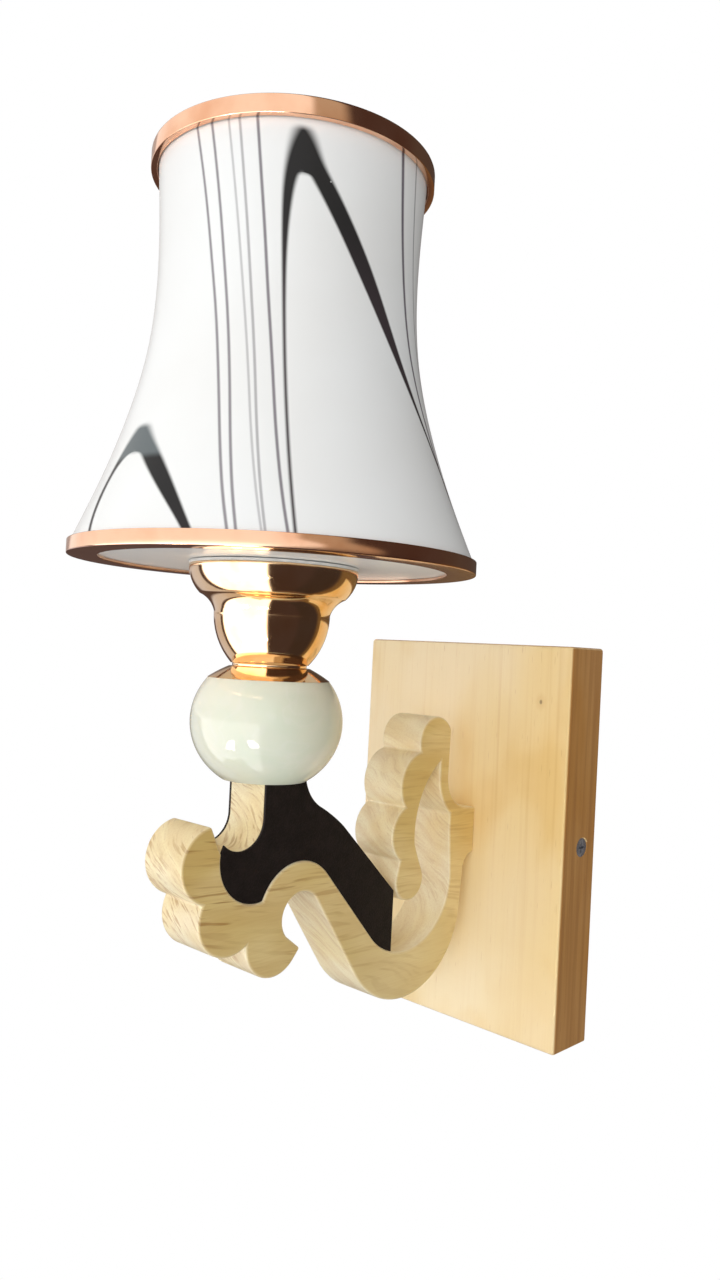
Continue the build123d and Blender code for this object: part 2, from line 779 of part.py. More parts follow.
# Cup: a spun metal cup in two tiers, holding the lampholder and carrying the shade
cup_floor = cup_low + metal_wall
with BuildPart() as cup:
    with BuildSketch(lamp_plane):
        with BuildLine():
            draw_cup_side(0, cup_low)
            Line((cup_brim_radius, cup_high), (cup_brim_radius - metal_wall, cup_high))
            draw_cup_side(metal_wall, cup_floor)
            Polyline(
                (cup_foot_radius - metal_wall, cup_floor),
                (tube_radius + shaft_gap, cup_floor),
                (tube_radius + shaft_gap, cup_low),
                (cup_foot_radius, cup_low),
            )
        make_face()
    revolve(axis=lamp_axis)
cup.part.label = "cup"
export_step(cup.part, "parts/cup.step")

# Washer and nut: clamp the cup, cap and ball down on the stem
with BuildPart() as cup_washer:
    turn_ring(tube_radius + shaft_gap, washer_radius, cup_floor, cup_floor + washer_thickness)
cup_washer.part.label = "cup_washer"
export_step(cup_washer.part, "parts/cup_washer.step")

nut_low = cup_floor + washer_thickness
with BuildPart() as clamp_nut:
    with BuildSketch(Plane((0, -lamp_reach, nut_low))):
        RegularPolygon(nut_width / 2, 6, major_radius=False)
        Circle(tube_radius + shaft_gap, mode=Mode.SUBTRACT)
    extrude(amount=nut_thickness)
clamp_nut.part.label = "clamp_nut"
export_step(clamp_nut.part, "parts/clamp_nut.step")

# Lampholder base: the dome that is screwed on the tube
with BuildPart() as holder_base:
    turn_profile([
        (tube_radius + shaft_gap, holder_low),
        (holder_foot_radius, holder_low),
        (holder_radius, holder_split - holder_wall),
        (holder_radius, holder_split),
        (insulator_radius + glue_gap, holder_split),
        (insulator_radius + glue_gap, holder_split - holder_wall),
        (holder_foot_radius, holder_low + 2 * holder_wall),
        (tube_radius + shaft_gap, holder_low + 2 * holder_wall),
    ])
holder_base.part.label = "holder_base"
export_step(holder_base.part, "parts/holder_base.step")

# Lampholder body: the threaded sleeve round the screw shell
with BuildPart() as holder_body:
    turn_ring(shell_radius + shell_wall + glue_gap, holder_radius, holder_split, holder_high)
    turn_ring(
        shell_radius,
        insulator_radius + glue_gap,
        holder_split,
        insulator_high + glue_gap,
        mode=Mode.SUBTRACT,
    )
    for turn in range(thread_turns):
        groove = holder_high - thread_pitch * (turn + 1)
        turn_profile(
            [
                (holder_radius, groove + thread_depth),
                (holder_radius - thread_depth, groove),
                (holder_radius, groove - thread_depth),
            ],
            mode=Mode.SUBTRACT,
        )
holder_body.part.label = "holder_body"
export_step(holder_body.part, "parts/holder_body.step")

# Insulator: the ceramic disc that carries the contacts
insulator_low = holder_split - holder_wall + glue_gap
with BuildPart() as insulator:
    turn_ring(cable_radius + shaft_gap, insulator_radius, insulator_low, insulator_high)
insulator.part.label = "insulator"
export_step(insulator.part, "parts/insulator.step")

# Screw shell: the thin metal sleeve that takes the bulb
with BuildPart() as screw_shell:
    turn_ring(shell_radius, shell_radius + shell_wall, insulator_high, insulator_high + shell_height)
screw_shell.part.label = "screw_shell"
export_step(screw_shell.part, "parts/screw_shell.step")

# Centre contact: the springy tongue under the bulb
with BuildPart() as center_contact:
    with BuildSketch(Plane((0, -lamp_reach, insulator_high))):
        SlotOverall(tongue_length, tongue_width)
    extrude(amount=tongue_thickness)
center_contact.part.label = "center_contact"
export_step(center_contact.part, "parts/center_contact.step")

# Gasket: the soft ring on the cup's brim, under the glass
with BuildPart() as shade_gasket:
    turn_ring(cup_brim_radius - gasket_width, cup_brim_radius, cup_high, cup_high + gasket_thickness)
shade_gasket.part.label = "shade_gasket"
export_step(shade_gasket.part, "parts/shade_gasket.step")

# Shade ring: the fluted nut on the lampholder's thread that clamps the glass
ring_inner = holder_radius + loose_gap
ring_outer = ring_inner + ring_width
with BuildPart() as shade_ring:
    turn_ring(ring_inner, ring_outer, ring_low, ring_low + ring_height)
    with BuildSketch(Plane((0, -lamp_reach, ring_low))):
        with PolarLocations(ring_outer, ring_flutes):
            Circle(ring_flute_radius)
    extrude(amount=ring_height, mode=Mode.SUBTRACT)
shade_ring.part.label = "shade_ring"
export_step(shade_ring.part, "parts/shade_ring.step")


def shade_line(inset):
    """The shade's outline, (radius, height), set in from its outside."""
    return [(radius - inset, glass_low + height) for radius, height in shade_outline]


# Shade: one bell of white glass with a flat floor, bored to pass over the lampholder
glass_foot_radius = shade_outline[0][0]
glass_bore = holder_radius + 2 * loose_gap
outside_line = shade_line(0)
inside_line = shade_line(glass_wall)
with BuildPart() as shade_glass:
    with BuildSketch(lamp_plane):
        with BuildLine():
            Polyline(
                (inside_line[0][0], glass_floor),
                (glass_bore, glass_floor),
                (glass_bore, glass_low),
                (glass_foot_radius, glass_low),
                outside_line[0],
            )
            Spline(*outside_line)
            Line(outside_line[-1], inside_line[-1])
            Spline(*reversed(inside_line))
            Line(inside_line[0], (inside_line[0][0], glass_floor))
        make_face()
    revolve(axis=lamp_axis)
shade_glass.part.label = "shade_glass"
export_step(shade_glass.part, "parts/shade_glass.step")

# Lower rim: a thin plated band round the foot of the glass, with a flange under it
low_rim_inner = glass_foot_radius + loose_gap
low_rim_outer = low_rim_inner + rim_wall
low_rim_floor = glass_low - glue_gap
with BuildPart() as lower_rim:
    turn_profile([
        (low_rim_outer - low_rim_flange, low_rim_floor - rim_wall),
        (low_rim_outer, low_rim_floor - rim_wall),
        (low_rim_outer, low_rim_floor - rim_wall + low_rim_height),
        (low_rim_inner, low_rim_floor - rim_wall + low_rim_height),
        (low_rim_inner, low_rim_floor),
        (low_rim_outer - low_rim_flange, low_rim_floor),
    ])
    fillet(lower_rim.edges().filter_by(GeomType.CIRCLE).group_by(SortBy.RADIUS)[-1], radius=low_rim_round)
lower_rim.part.label = "lower_rim"
export_step(lower_rim.part, "parts/lower_rim.step")

# Upper rim: a plated channel over the edge of the glass
high_rim_inner = shade_outline[-1][0] + loose_gap
high_rim_outer = high_rim_inner + high_rim_wall
high_rim_under = glass_high + glue_gap
high_rim_top = high_rim_under + high_rim_web
lip_outer = shade_outline[-1][0] - glass_wall - 2 * loose_gap
with BuildPart() as upper_rim:
    turn_profile([
        (high_rim_inner, high_rim_top - high_rim_height),
        (high_rim_outer, high_rim_top - high_rim_height),
        (high_rim_outer, high_rim_top),
        (lip_outer - high_rim_lip, high_rim_top),
        (lip_outer - high_rim_lip, high_rim_top - high_rim_height),
        (lip_outer, high_rim_top - high_rim_height),
        (lip_outer, high_rim_under),
        (high_rim_inner, high_rim_under),
    ])
    fillet(upper_rim.edges().filter_by(GeomType.CIRCLE).group_by(SortBy.RADIUS)[-1], radius=high_rim_round)
upper_rim.part.label = "upper_rim"
export_step(upper_rim.part, "parts/upper_rim.step")

# Bulb cap: the ridged metal screw base
with BuildPart() as bulb_cap:
    turn_ring(0, bulb_cap_radius, bulb_cap_low, bulb_cap_high)
    for ridge in range(bulb_ridges):
        crest = bulb_cap_low + bulb_ridge_pitch * (ridge + 1)
        turn_profile([
            (bulb_cap_radius - metal_wall, crest - bulb_ridge_pitch / 2),
            (bulb_ridge_radius, crest),
            (bulb_cap_radius - metal_wall, crest + bulb_ridge_pitch / 2),
        ])
bulb_cap.part.label = "bulb_cap"
export_step(bulb_cap.part, "parts/bulb_cap.step")

# Bulb button: the lower contact with its collar
with BuildPart() as bulb_button:
    turn_ring(0, bulb_button_radius, button_low, bulb_cap_low)
    fillet(bulb_button.edges().group_by(Axis.Z)[0], radius=bulb_button_height / 2)
bulb_button.part.label = "bulb_button"
export_step(bulb_button.part, "parts/bulb_button.step")


def bulb_line(inset):
    """Half section of the candle-shaped globe, (radius, height)."""
    return [
        (bulb_neck_radius - inset, bulb_cap_high),
        (bulb_radius - inset, bulb_cap_high + bulb_belly_height),
        (bulb_tip_radius, bulb_cap_high + bulb_height - inset),
    ]


# Bulb globe: a candle-shaped shell of frosted glass
with BuildPart() as bulb_globe:
    with BuildSketch(lamp_plane):
        with BuildLine():
            Spline(*bulb_line(0), tangents=(bulb_neck_lean, bulb_tip_lean))
            Polyline(
                bulb_line(0)[-1],
                (0, bulb_cap_high + bulb_height),
                (0, bulb_cap_high + bulb_height - bulb_wall),
                bulb_line(bulb_wall)[-1],
            )
            Spline(*bulb_line(bulb_wall), tangents=(bulb_neck_lean, bulb_tip_lean))
            Line(bulb_line(bulb_wall)[0], bulb_line(0)[0])
        make_face()
    revolve(axis=lamp_axis)
bulb_globe.part.label = "bulb_globe"
export_step(bulb_globe.part, "parts/bulb_globe.step")

# Light source: the round module on top of the bulb's cap
with BuildPart() as led_module:
    turn_ring(0, led_radius, bulb_cap_high, bulb_cap_high + led_height)
led_module.part.label = "led_module"
export_step(led_module.part, "parts/led_module.step")
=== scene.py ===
import bpy
import bmesh
import json
from math import atan2, cos, e, hypot, pi, radians, sin
from mathutils import Matrix, Vector


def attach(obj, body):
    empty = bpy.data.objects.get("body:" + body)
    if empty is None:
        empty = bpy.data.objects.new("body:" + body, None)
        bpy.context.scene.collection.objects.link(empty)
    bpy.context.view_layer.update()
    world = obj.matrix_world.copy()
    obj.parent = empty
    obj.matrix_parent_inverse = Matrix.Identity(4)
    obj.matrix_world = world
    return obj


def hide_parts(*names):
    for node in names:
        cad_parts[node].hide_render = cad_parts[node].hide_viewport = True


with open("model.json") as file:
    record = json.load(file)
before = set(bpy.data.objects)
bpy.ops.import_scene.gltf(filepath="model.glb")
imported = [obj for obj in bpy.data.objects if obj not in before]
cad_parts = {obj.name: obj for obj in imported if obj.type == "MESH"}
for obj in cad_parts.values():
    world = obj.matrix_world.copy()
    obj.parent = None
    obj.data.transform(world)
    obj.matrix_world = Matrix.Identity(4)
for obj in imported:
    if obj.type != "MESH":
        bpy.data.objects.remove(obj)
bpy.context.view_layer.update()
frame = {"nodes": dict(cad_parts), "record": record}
nodes = frame["nodes"]
mm = 0.001
lampAxis = -139.6  # mm from the wall to the turned column
print("frame loaded:", len(nodes), "nodes")

camera = {
    "place": (0.2760, -0.3766, 0.0793),  # m
    "turn": 44.129,  # degrees round to the right of the front
    "rise": -0.578,
    "roll": 2.885,
    "lens": 27.42,  # mm
    "longSide": 36,  # mm of the sensor
    "near": 0.01,  # m
}


def setCamera(view):
    turn = radians(view["turn"])
    rise = radians(view["rise"])
    roll = radians(view["roll"])
    back = Vector((sin(turn) * cos(rise), -cos(turn) * cos(rise), sin(rise)))
    level = Vector((cos(turn), sin(turn), 0))
    upright = back.cross(level)
    right = level * cos(roll) + upright * sin(roll)
    up = upright * cos(roll) - level * sin(roll)
    data = bpy.data.cameras.new("camera")
    data.sensor_fit = "AUTO"
    data.sensor_width = view["longSide"]
    data.lens = view["lens"]
    data.clip_start = view["near"]
    data.dof.use_dof = False
    obj = bpy.data.objects.new("camera", data)
    bpy.context.scene.collection.objects.link(obj)
    turned = Matrix((right, up, back)).transposed().to_4x4()
    obj.matrix_world = Matrix.Translation(view["place"]) @ turned
    bpy.context.scene.camera = obj


setCamera(camera)
bpy.context.scene.view_settings.view_transform = "Standard"
print("camera set")


def tone(red, green, blue):  # display colour 0-255 to the linear colour that nodes take
    def linear(value):
        value = value / 255
        return value / 12.92 if value <= 0.04045 else ((value + 0.055) / 1.055) ** 2.4
    return (linear(red), linear(green), linear(blue), 1.0)


class Level:  # one socket of a finish; sums with it add Math nodes
    def __init__(self, finish, socket):
        self.finish = finish
        self.socket = socket

    def do(self, operation, *values):
        return self.finish.add("ShaderNodeMath", {"operation": operation}, dict(enumerate(values)))

    def __add__(self, other):
        return self.do("ADD", self, other)

    def __radd__(self, other):
        return self.do("ADD", other, self)

    def __sub__(self, other):
        return self.do("SUBTRACT", self, other)

    def __rsub__(self, other):
        return self.do("SUBTRACT", other, self)

    def __mul__(self, other):
        return self.do("MULTIPLY", self, other)

    def __rmul__(self, other):
        return self.do("MULTIPLY", other, self)

    def __truediv__(self, other):
        return self.do("DIVIDE", self, other)

    def __rtruediv__(self, other):
        return self.do("DIVIDE", other, self)

    def __pow__(self, other):
        return self.do("POWER", self, other)

    def __rpow__(self, other):
        return self.do("POWER", other, self)

    def __abs__(self):
        return self.do("ABSOLUTE", self)

    def over(self, other):
        return self.do("MAXIMUM", self, other)

    def under(self, other):
        return self.do("MINIMUM", self, other)

    def ease(self, low, high):  # 0 below low, 1 above high, soft between
        return self.finish.add("ShaderNodeMapRange", {"interpolation_type": "SMOOTHSTEP"},
                               {"Value": self, "From Min": low, "From Max": high})


class Finish:  # a material and its nodes
    def __init__(self, name, tree=None):
        self.material = None
        if tree is None:
            self.material = bpy.data.materials.new(name)
            self.material.use_nodes = True
            tree = self.material.node_tree
        self.tree = tree
        self.tree.nodes.clear()

    def pick(self, sockets, key):
        if isinstance(key, int):
            return sockets[key]
        for socket in sockets:
            if socket.identifier == key:
                return socket
        return sockets[key]

    def add(self, kind, settings=None, sockets=None, out=0):
        node = self.tree.nodes.new(kind)
        for key, value in (settings or {}).items():
            setattr(node, key, value)
        for key, value in (sockets or {}).items():
            socket = self.pick(node.inputs, key)
            if isinstance(value, Level):
                self.tree.links.new(value.socket, socket)
            else:
                socket.default_value = value
        return Level(self, self.pick(node.outputs, out))

    def place(self):  # where on the object, in m
        return self.add("ShaderNodeTexCoord", out="Object")

    def split(self, vector):
        node = self.add("ShaderNodeSeparateXYZ", None, {"Vector": vector}).socket.node
        return [Level(self, socket) for socket in node.outputs]

    def join(self, x, y, z):
        return self.add("ShaderNodeCombineXYZ", None, {"X": x, "Y": y, "Z": z})

    def stretch(self, vector, scale):
        return self.add("ShaderNodeVectorMath", {"operation": "MULTIPLY"}, {0: vector, 1: scale})

    def noise(self, vector, scale, detail=2.0, rough=0.5, bend=0.0):
        sockets = {"Vector": vector, "Scale": scale, "Detail": detail,
                   "Roughness": rough, "Distortion": bend}
        return self.add("ShaderNodeTexNoise", {"noise_dimensions": "3D"}, sockets, "Fac")

    def mix(self, share, first, second, blend="MIX"):
        return self.add("ShaderNodeMix", {"data_type": "RGBA", "blend_type": blend},
                        {"Factor_Float": share, "A_Color": first, "B_Color": second}, "Result_Color")

    def bump(self, height, strength, distance):
        return self.add("ShaderNodeBump", None,
                        {"Height": height, "Strength": strength, "Distance": distance})

    def finish(self, shader, kind="ShaderNodeOutputMaterial"):
        output = self.tree.nodes.new(kind)
        self.tree.links.new(shader.socket, output.inputs["Surface"])

    def surface(self, sockets):
        self.finish(self.add("ShaderNodeBsdfPrincipled", None, sockets))
        return self.material


print("shader helpers ready")


def arcThrough(first, middle, last, steps=14):  # points on the circle through three points
    ax, ay = first
    bx, by = middle
    cx, cy = last
    area = 2 * (ax * (by - cy) + bx * (cy - ay) + cx * (ay - by))
    aa, bb, cc = ax * ax + ay * ay, bx * bx + by * by, cx * cx + cy * cy
    ox = (aa * (by - cy) + bb * (cy - ay) + cc * (ay - by)) / area
    oy = (aa * (cx - bx) + bb * (ax - cx) + cc * (bx - ax)) / area
    start = atan2(ay - oy, ax - ox)
    halfway = (atan2(by - oy, bx - ox) - start) % (2 * pi)
    sweep = (atan2(cy - oy, cx - ox) - start) % (2 * pi)
    if halfway > sweep:
        sweep -= 2 * pi
    radius = hypot(ax - ox, ay - oy)
    angles = [start + sweep * step / steps for step in range(steps + 1)]
    return [(ox + radius * cos(angle), oy + radius * sin(angle)) for angle in angles]


def roundCorner(before, corner, after, radius, steps=5):  # a corner of an outline, eased by a curve
    def towards(point):
        span = hypot(point[0] - corner[0], point[1] - corner[1])
        return [corner[i] + (point[i] - corner[i]) * radius / span for i in (0, 1)]
    start, end = towards(before), towards(after)
    points = []
    for step in range(steps + 1):
        t = step / steps
        shares = (((1 - t) ** 2, start), (2 * t * (1 - t), corner), (t * t, end))
        points.append(tuple(sum(share * point[i] for share, point in shares) for i in (0, 1)))
    return points


def closed(points):
    return points + points[:1]


def roundedLoop(corners):  # closed outline from (radius, height, easing)
    points = []
    for i, (x, y, easing) in enumerate(corners):
        before, after = corners[i - 1], corners[(i + 1) % len(corners)]
        points += roundCorner(before, (x, y), after, easing) if easing else [(x, y)]
    return closed(points)


def smoothThrough(points, steps=16):  # natural cubic through (radius, height), height as the running value
    n = len(points)
    h = [points[i + 1][1] - points[i][1] for i in range(n - 1)]
    rate = [(points[i + 1][0] - points[i][0]) / h[i] for i in range(n - 1)]
    upper, right = [0.0], [0.0]
    for i in range(1, n - 1):
        pivot = 2 * (h[i - 1] + h[i]) - h[i - 1] * upper[-1]
        upper.append(h[i] / pivot)
        right.append((6 * (rate[i] - rate[i - 1]) - h[i - 1] * right[-1]) / pivot)
    bend = [0.0] * n
    for i in range(n - 2, 0, -1):
        bend[i] = right[i] - upper[i] * bend[i + 1]
    line = []
    for i in range(n - 1):
        for step in range(steps + (i == n - 2)):
            t = h[i] * step / steps
            slope = rate[i] - h[i] * (2 * bend[i] + bend[i + 1]) / 6
            rise = t * (slope + t * (bend[i] / 2 + t * (bend[i + 1] - bend[i]) / (6 * h[i])))
            line.append((points[i][0] + rise, points[i][1] + t))
    return line


shaping = {
    "merge": 0.000002,  # m, points nearer than this become one
    "sliver": 0.000001,  # m, shorter edges go
    "cadMerge": 0.000004,  # m, for the loose triangles of a CAD piece
    "flat": 1,  # degrees, faces that bend less become one
    "crease": 30,  # degrees, an edge that bends more stays sharp beside an easing
    "flatShare": 90,  # how much large faces count in the shading of eased edges
}


def turnedTree():  # an outline turned round the lamp's axis
    tree = bpy.data.node_groups.new("turnedPiece", "GeometryNodeTree")
    face = tree.interface
    face.new_socket("Outline", in_out="INPUT", socket_type="NodeSocketGeometry")
    ids = {
        "steps": face.new_socket("Steps", in_out="INPUT", socket_type="NodeSocketInt").identifier,
        "axis": face.new_socket("Axis", in_out="INPUT", socket_type="NodeSocketFloat").identifier,
        "finish": face.new_socket("Finish", in_out="INPUT", socket_type="NodeSocketMaterial").identifier,
    }
    face.new_socket("Piece", in_out="OUTPUT", socket_type="NodeSocketGeometry")

    def node(kind, settings=None, sockets=None):
        made = tree.nodes.new(kind)
        for key, value in (settings or {}).items():
            setattr(made, key, value)
        for key, value in (sockets or {}).items():
            if isinstance(value, bpy.types.NodeSocket):
                tree.links.new(value, made.inputs[key])
            else:
                made.inputs[key].default_value = value
        return made

    def sums(operation, first, second=0.0):
        return node("ShaderNodeMath", {"operation": operation}, {0: first, 1: second}).outputs[0]

    given = node("NodeGroupInput").outputs
    count = node("GeometryNodeAttributeDomainSize", {"component": "MESH"}, {"Geometry": given["Outline"]})
    rows = count.outputs["Point Count"]
    columns = sums("ADD", given["Steps"], 1.0)
    grid = node("GeometryNodeMeshGrid", None, {"Vertices X": columns, "Vertices Y": rows})
    index = node("GeometryNodeInputIndex").outputs[0]
    row = sums("MODULO", index, rows)
    column = sums("FLOOR", sums("DIVIDE", sums("ADD", index, 0.5), rows))
    spot = node("GeometryNodeInputPosition").outputs[0]
    taken = node("GeometryNodeSampleIndex", {"data_type": "FLOAT_VECTOR", "domain": "POINT"},
                 {"Geometry": given["Outline"], "Index": row})
    tree.links.new(spot, taken.inputs["Value"])
    parts = node("ShaderNodeSeparateXYZ", None, {"Vector": taken.outputs["Value"]}).outputs
    angle = sums("MULTIPLY", sums("DIVIDE", column, given["Steps"]), 2 * pi)
    across = sums("MULTIPLY", parts["X"], sums("COSINE", angle))
    along = sums("ADD", sums("MULTIPLY", parts["X"], sums("SINE", angle)), given["Axis"])
    put = node("ShaderNodeCombineXYZ", None, {"X": across, "Y": along, "Z": parts["Z"]}).outputs[0]
    moved = node("GeometryNodeSetPosition", None, {"Geometry": grid.outputs["Mesh"], "Position": put})
    whole = node("GeometryNodeMergeByDistance", None,
                 {"Geometry": moved.outputs[0], "Distance": shaping["merge"]})
    smooth = node("GeometryNodeSetShadeSmooth", None, {"Geometry": whole.outputs[0]})
    real = node("GeometryNodeRealizeInstances", None, {"Geometry": smooth.outputs[0]})
    dressed = node("GeometryNodeSetMaterial", None,
                   {"Geometry": real.outputs[0], "Material": given["Finish"]})
    tree.links.new(dressed.outputs[0], node("NodeGroupOutput").inputs[0])
    return tree, ids


turned, turnedIds = turnedTree()


def outwards(mesh):  # faces point out of a closed piece
    work = bmesh.new()
    work.from_mesh(mesh)
    bmesh.ops.remove_doubles(work, verts=work.verts, dist=shaping["merge"])
    bmesh.ops.dissolve_degenerate(work, edges=work.edges, dist=shaping["sliver"])
    bmesh.ops.recalc_face_normals(work, faces=work.faces)
    work.to_mesh(mesh)
    work.free()


def settle(obj, body, node):  # the piece rides a body and stands for a CAD node
    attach(obj, body)
    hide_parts(node)


def turnPiece(name, outline, finish, steps=180, crease=32):
    mesh = bpy.data.meshes.new(name)
    points = [(radius * mm, 0, height * mm) for radius, height in outline]
    mesh.from_pydata(points, [(i, i + 1) for i in range(len(points) - 1)], [])
    obj = bpy.data.objects.new(name, mesh)
    bpy.context.scene.collection.objects.link(obj)
    maker = obj.modifiers.new("turned", "NODES")
    maker.node_group = turned
    maker[turnedIds["steps"]] = steps
    maker[turnedIds["axis"]] = lampAxis * mm
    maker[turnedIds["finish"]] = finish
    graph = bpy.context.evaluated_depsgraph_get()
    done = bpy.data.meshes.new_from_object(obj.evaluated_get(graph))
    obj.modifiers.remove(maker)
    obj.data = done
    outwards(done)
    done.set_sharp_from_angle(angle=radians(crease))
    if not done.materials:
        done.materials.append(finish)
    return obj


def softCopy(node, name, finish, easing, segments=3, corner=35):  # a CAD piece with its sharp edges eased
    mesh = nodes[node].data.copy()
    mesh.name = name
    work = bmesh.new()
    work.from_mesh(mesh)
    bmesh.ops.remove_doubles(work, verts=work.verts, dist=shaping["cadMerge"])
    bmesh.ops.dissolve_limit(work, angle_limit=radians(shaping["flat"]), verts=work.verts, edges=work.edges)
    # the eased strips are marked; the finishes paint them paler, as wear and as a painted highlight
    wornEdgeHighlight = work.faces.layers.float.new("wornEdgeHighlight")
    if easing:
        paired = [edge for edge in work.edges if len(edge.link_faces) == 2]
        sharp = [edge for edge in paired if edge.calc_face_angle(0) > radians(corner)]
        made = bmesh.ops.bevel(work, geom=sharp, offset=easing * mm, offset_type="OFFSET",
                               segments=segments, profile=0.5, affect="EDGES",
                               clamp_overlap=False, material=-1)
        for strip in made["faces"]:
            strip[wornEdgeHighlight] = 1.0
    work.to_mesh(mesh)
    work.free()
    for polygon in mesh.polygons:
        polygon.use_smooth = True
    mesh.set_sharp_from_angle(angle=radians(shaping["crease"]))
    mesh.materials.clear()
    mesh.materials.append(finish)
    obj = bpy.data.objects.new(name, mesh)
    bpy.context.scene.collection.objects.link(obj)
    even = obj.modifiers.new("even", "WEIGHTED_NORMAL")  # flat faces stay flat beside the rounding
    even.keep_sharp = True
    even.weight = shaping["flatShare"]
    return obj


print("shape helpers ready")

pine = {
    "pale": tone(254, 235, 196),
    "warm": tone(250, 226, 172),
    "honey": tone(234, 196, 122),
    "line": tone(216, 170, 100),
    "side": (0.58, 0.38, 0.22, 1.0),  # the sawn sides are browner, partly the wood and partly painted shade
    "strip": tone(150, 98, 52),
    "fleck": tone(186, 132, 78),
    "heart": tone(96, 62, 36),
    "knot": (0.0430, 0.0610),  # m across and up, on the front
    "knotSize": 0.0009,
    "front": (-0.0225, -0.020),  # m from the wall, where the knot ends
    "paintedShadeSide": (0.02, 0.05),  # m across: painted shade, a honey tone to the right of it
}


def pineBoard(look):
    wood = Finish("pineBoard")
    place = wood.place()
    x, y, z = wood.split(place)
    bent = wood.noise(wood.stretch(place, (1, 1, 0.12)), 22, 2)
    layers = wood.join(x + bent * 0.012, y * 0.6, z * 0.012)
    late = wood.noise(layers, 330, 2).ease(0.48, 0.72)
    fibre = wood.noise(wood.stretch(place, (1, 1, 0.02)), 1100, 3, 0.6)
    cloud = wood.noise(wood.stretch(place, (1, 1, 0.45)), 20, 2)
    blotch = wood.noise(wood.stretch(place, (1, 1, 0.55)), 31, 2, 0.5, 0.4).ease(0.46, 0.70)
    faint = wood.noise(wood.stretch(place, (1, 1, 0.3)), 30, 1).ease(0.4, 0.65)
    fleck = wood.noise(wood.stretch(place, (1, 1, 0.07)), 1500, 1).ease(0.68, 0.78)
    aside = x - look["knot"][0]
    above = z - look["knot"][1]
    reach = (aside * aside + above * above * 0.5) ** 0.5
    front = 1 - y.ease(*look["front"])
    knot = (1 - reach.ease(look["knotSize"] * 0.4, look["knotSize"])) * front
    halo = (1 - reach.ease(look["knotSize"], look["knotSize"] * 4)) * front
    colour = wood.mix(cloud.ease(0.35, 0.68), look["pale"], look["warm"])
    # honey blotches, and painted shade: the plate turns honey towards the right
    colour = wood.mix(blotch * 0.45 + x.ease(*look["paintedShadeSide"]) * 0.30, colour, look["honey"])
    lines = late * (0.05 + faint * 0.16) + (fibre - 0.5) * 0.28 + halo * 0.25
    colour = wood.mix(lines, colour, look["line"])
    colour = wood.mix(fleck * 0.30, colour, look["fleck"])
    normal = wood.split(wood.add("ShaderNodeNewGeometry", out="Normal"))
    # sides darker and browner: sawn grain and painted shade
    sawnAndShadedSides = abs(normal[0]).over(abs(normal[2])).ease(0.6, 0.95)
    colour = wood.mix(sawnAndShadedSides, colour, wood.mix(1.0, colour, look["side"], "MULTIPLY"))
    strip = wood.noise(wood.stretch(place, (1, 1, 0.03)), 330, 2).ease(0.35, 0.7)
    colour = wood.mix(strip * sawnAndShadedSides * 0.45, colour, look["strip"])
    colour = wood.mix(knot * 0.6, colour, look["heart"])
    height = fibre * 0.6 + late * 0.5 - fleck * 0.5 - knot
    return wood.surface({
        "Base Color": colour,
        "Roughness": 0.40 + fibre * 0.16 - late * 0.06,
        "Specular IOR Level": 0.3,
        "Normal": wood.bump(height, 0.25, 0.0002),
    })


carved = {
    "pale": tone(252, 242, 210),
    "cream": tone(247, 230, 182),
    "tan": tone(241, 215, 150),
    "gold": tone(227, 196, 120),
    "ring": tone(200, 152, 82),
    "dash": tone(138, 82, 28),
    # edge: the paler colour of the eased edges, wear and painted highlight
    "edge": tone(250, 240, 212),
    "pith": (-0.045, -0.075),  # m across and up: the heart of the tree that the grain bends round
    "ripe": (-0.17, -0.09),  # m from the wall: darker streaks in front of it
    "lowTurn": (-0.035, -0.005),  # m up: paler below it
}


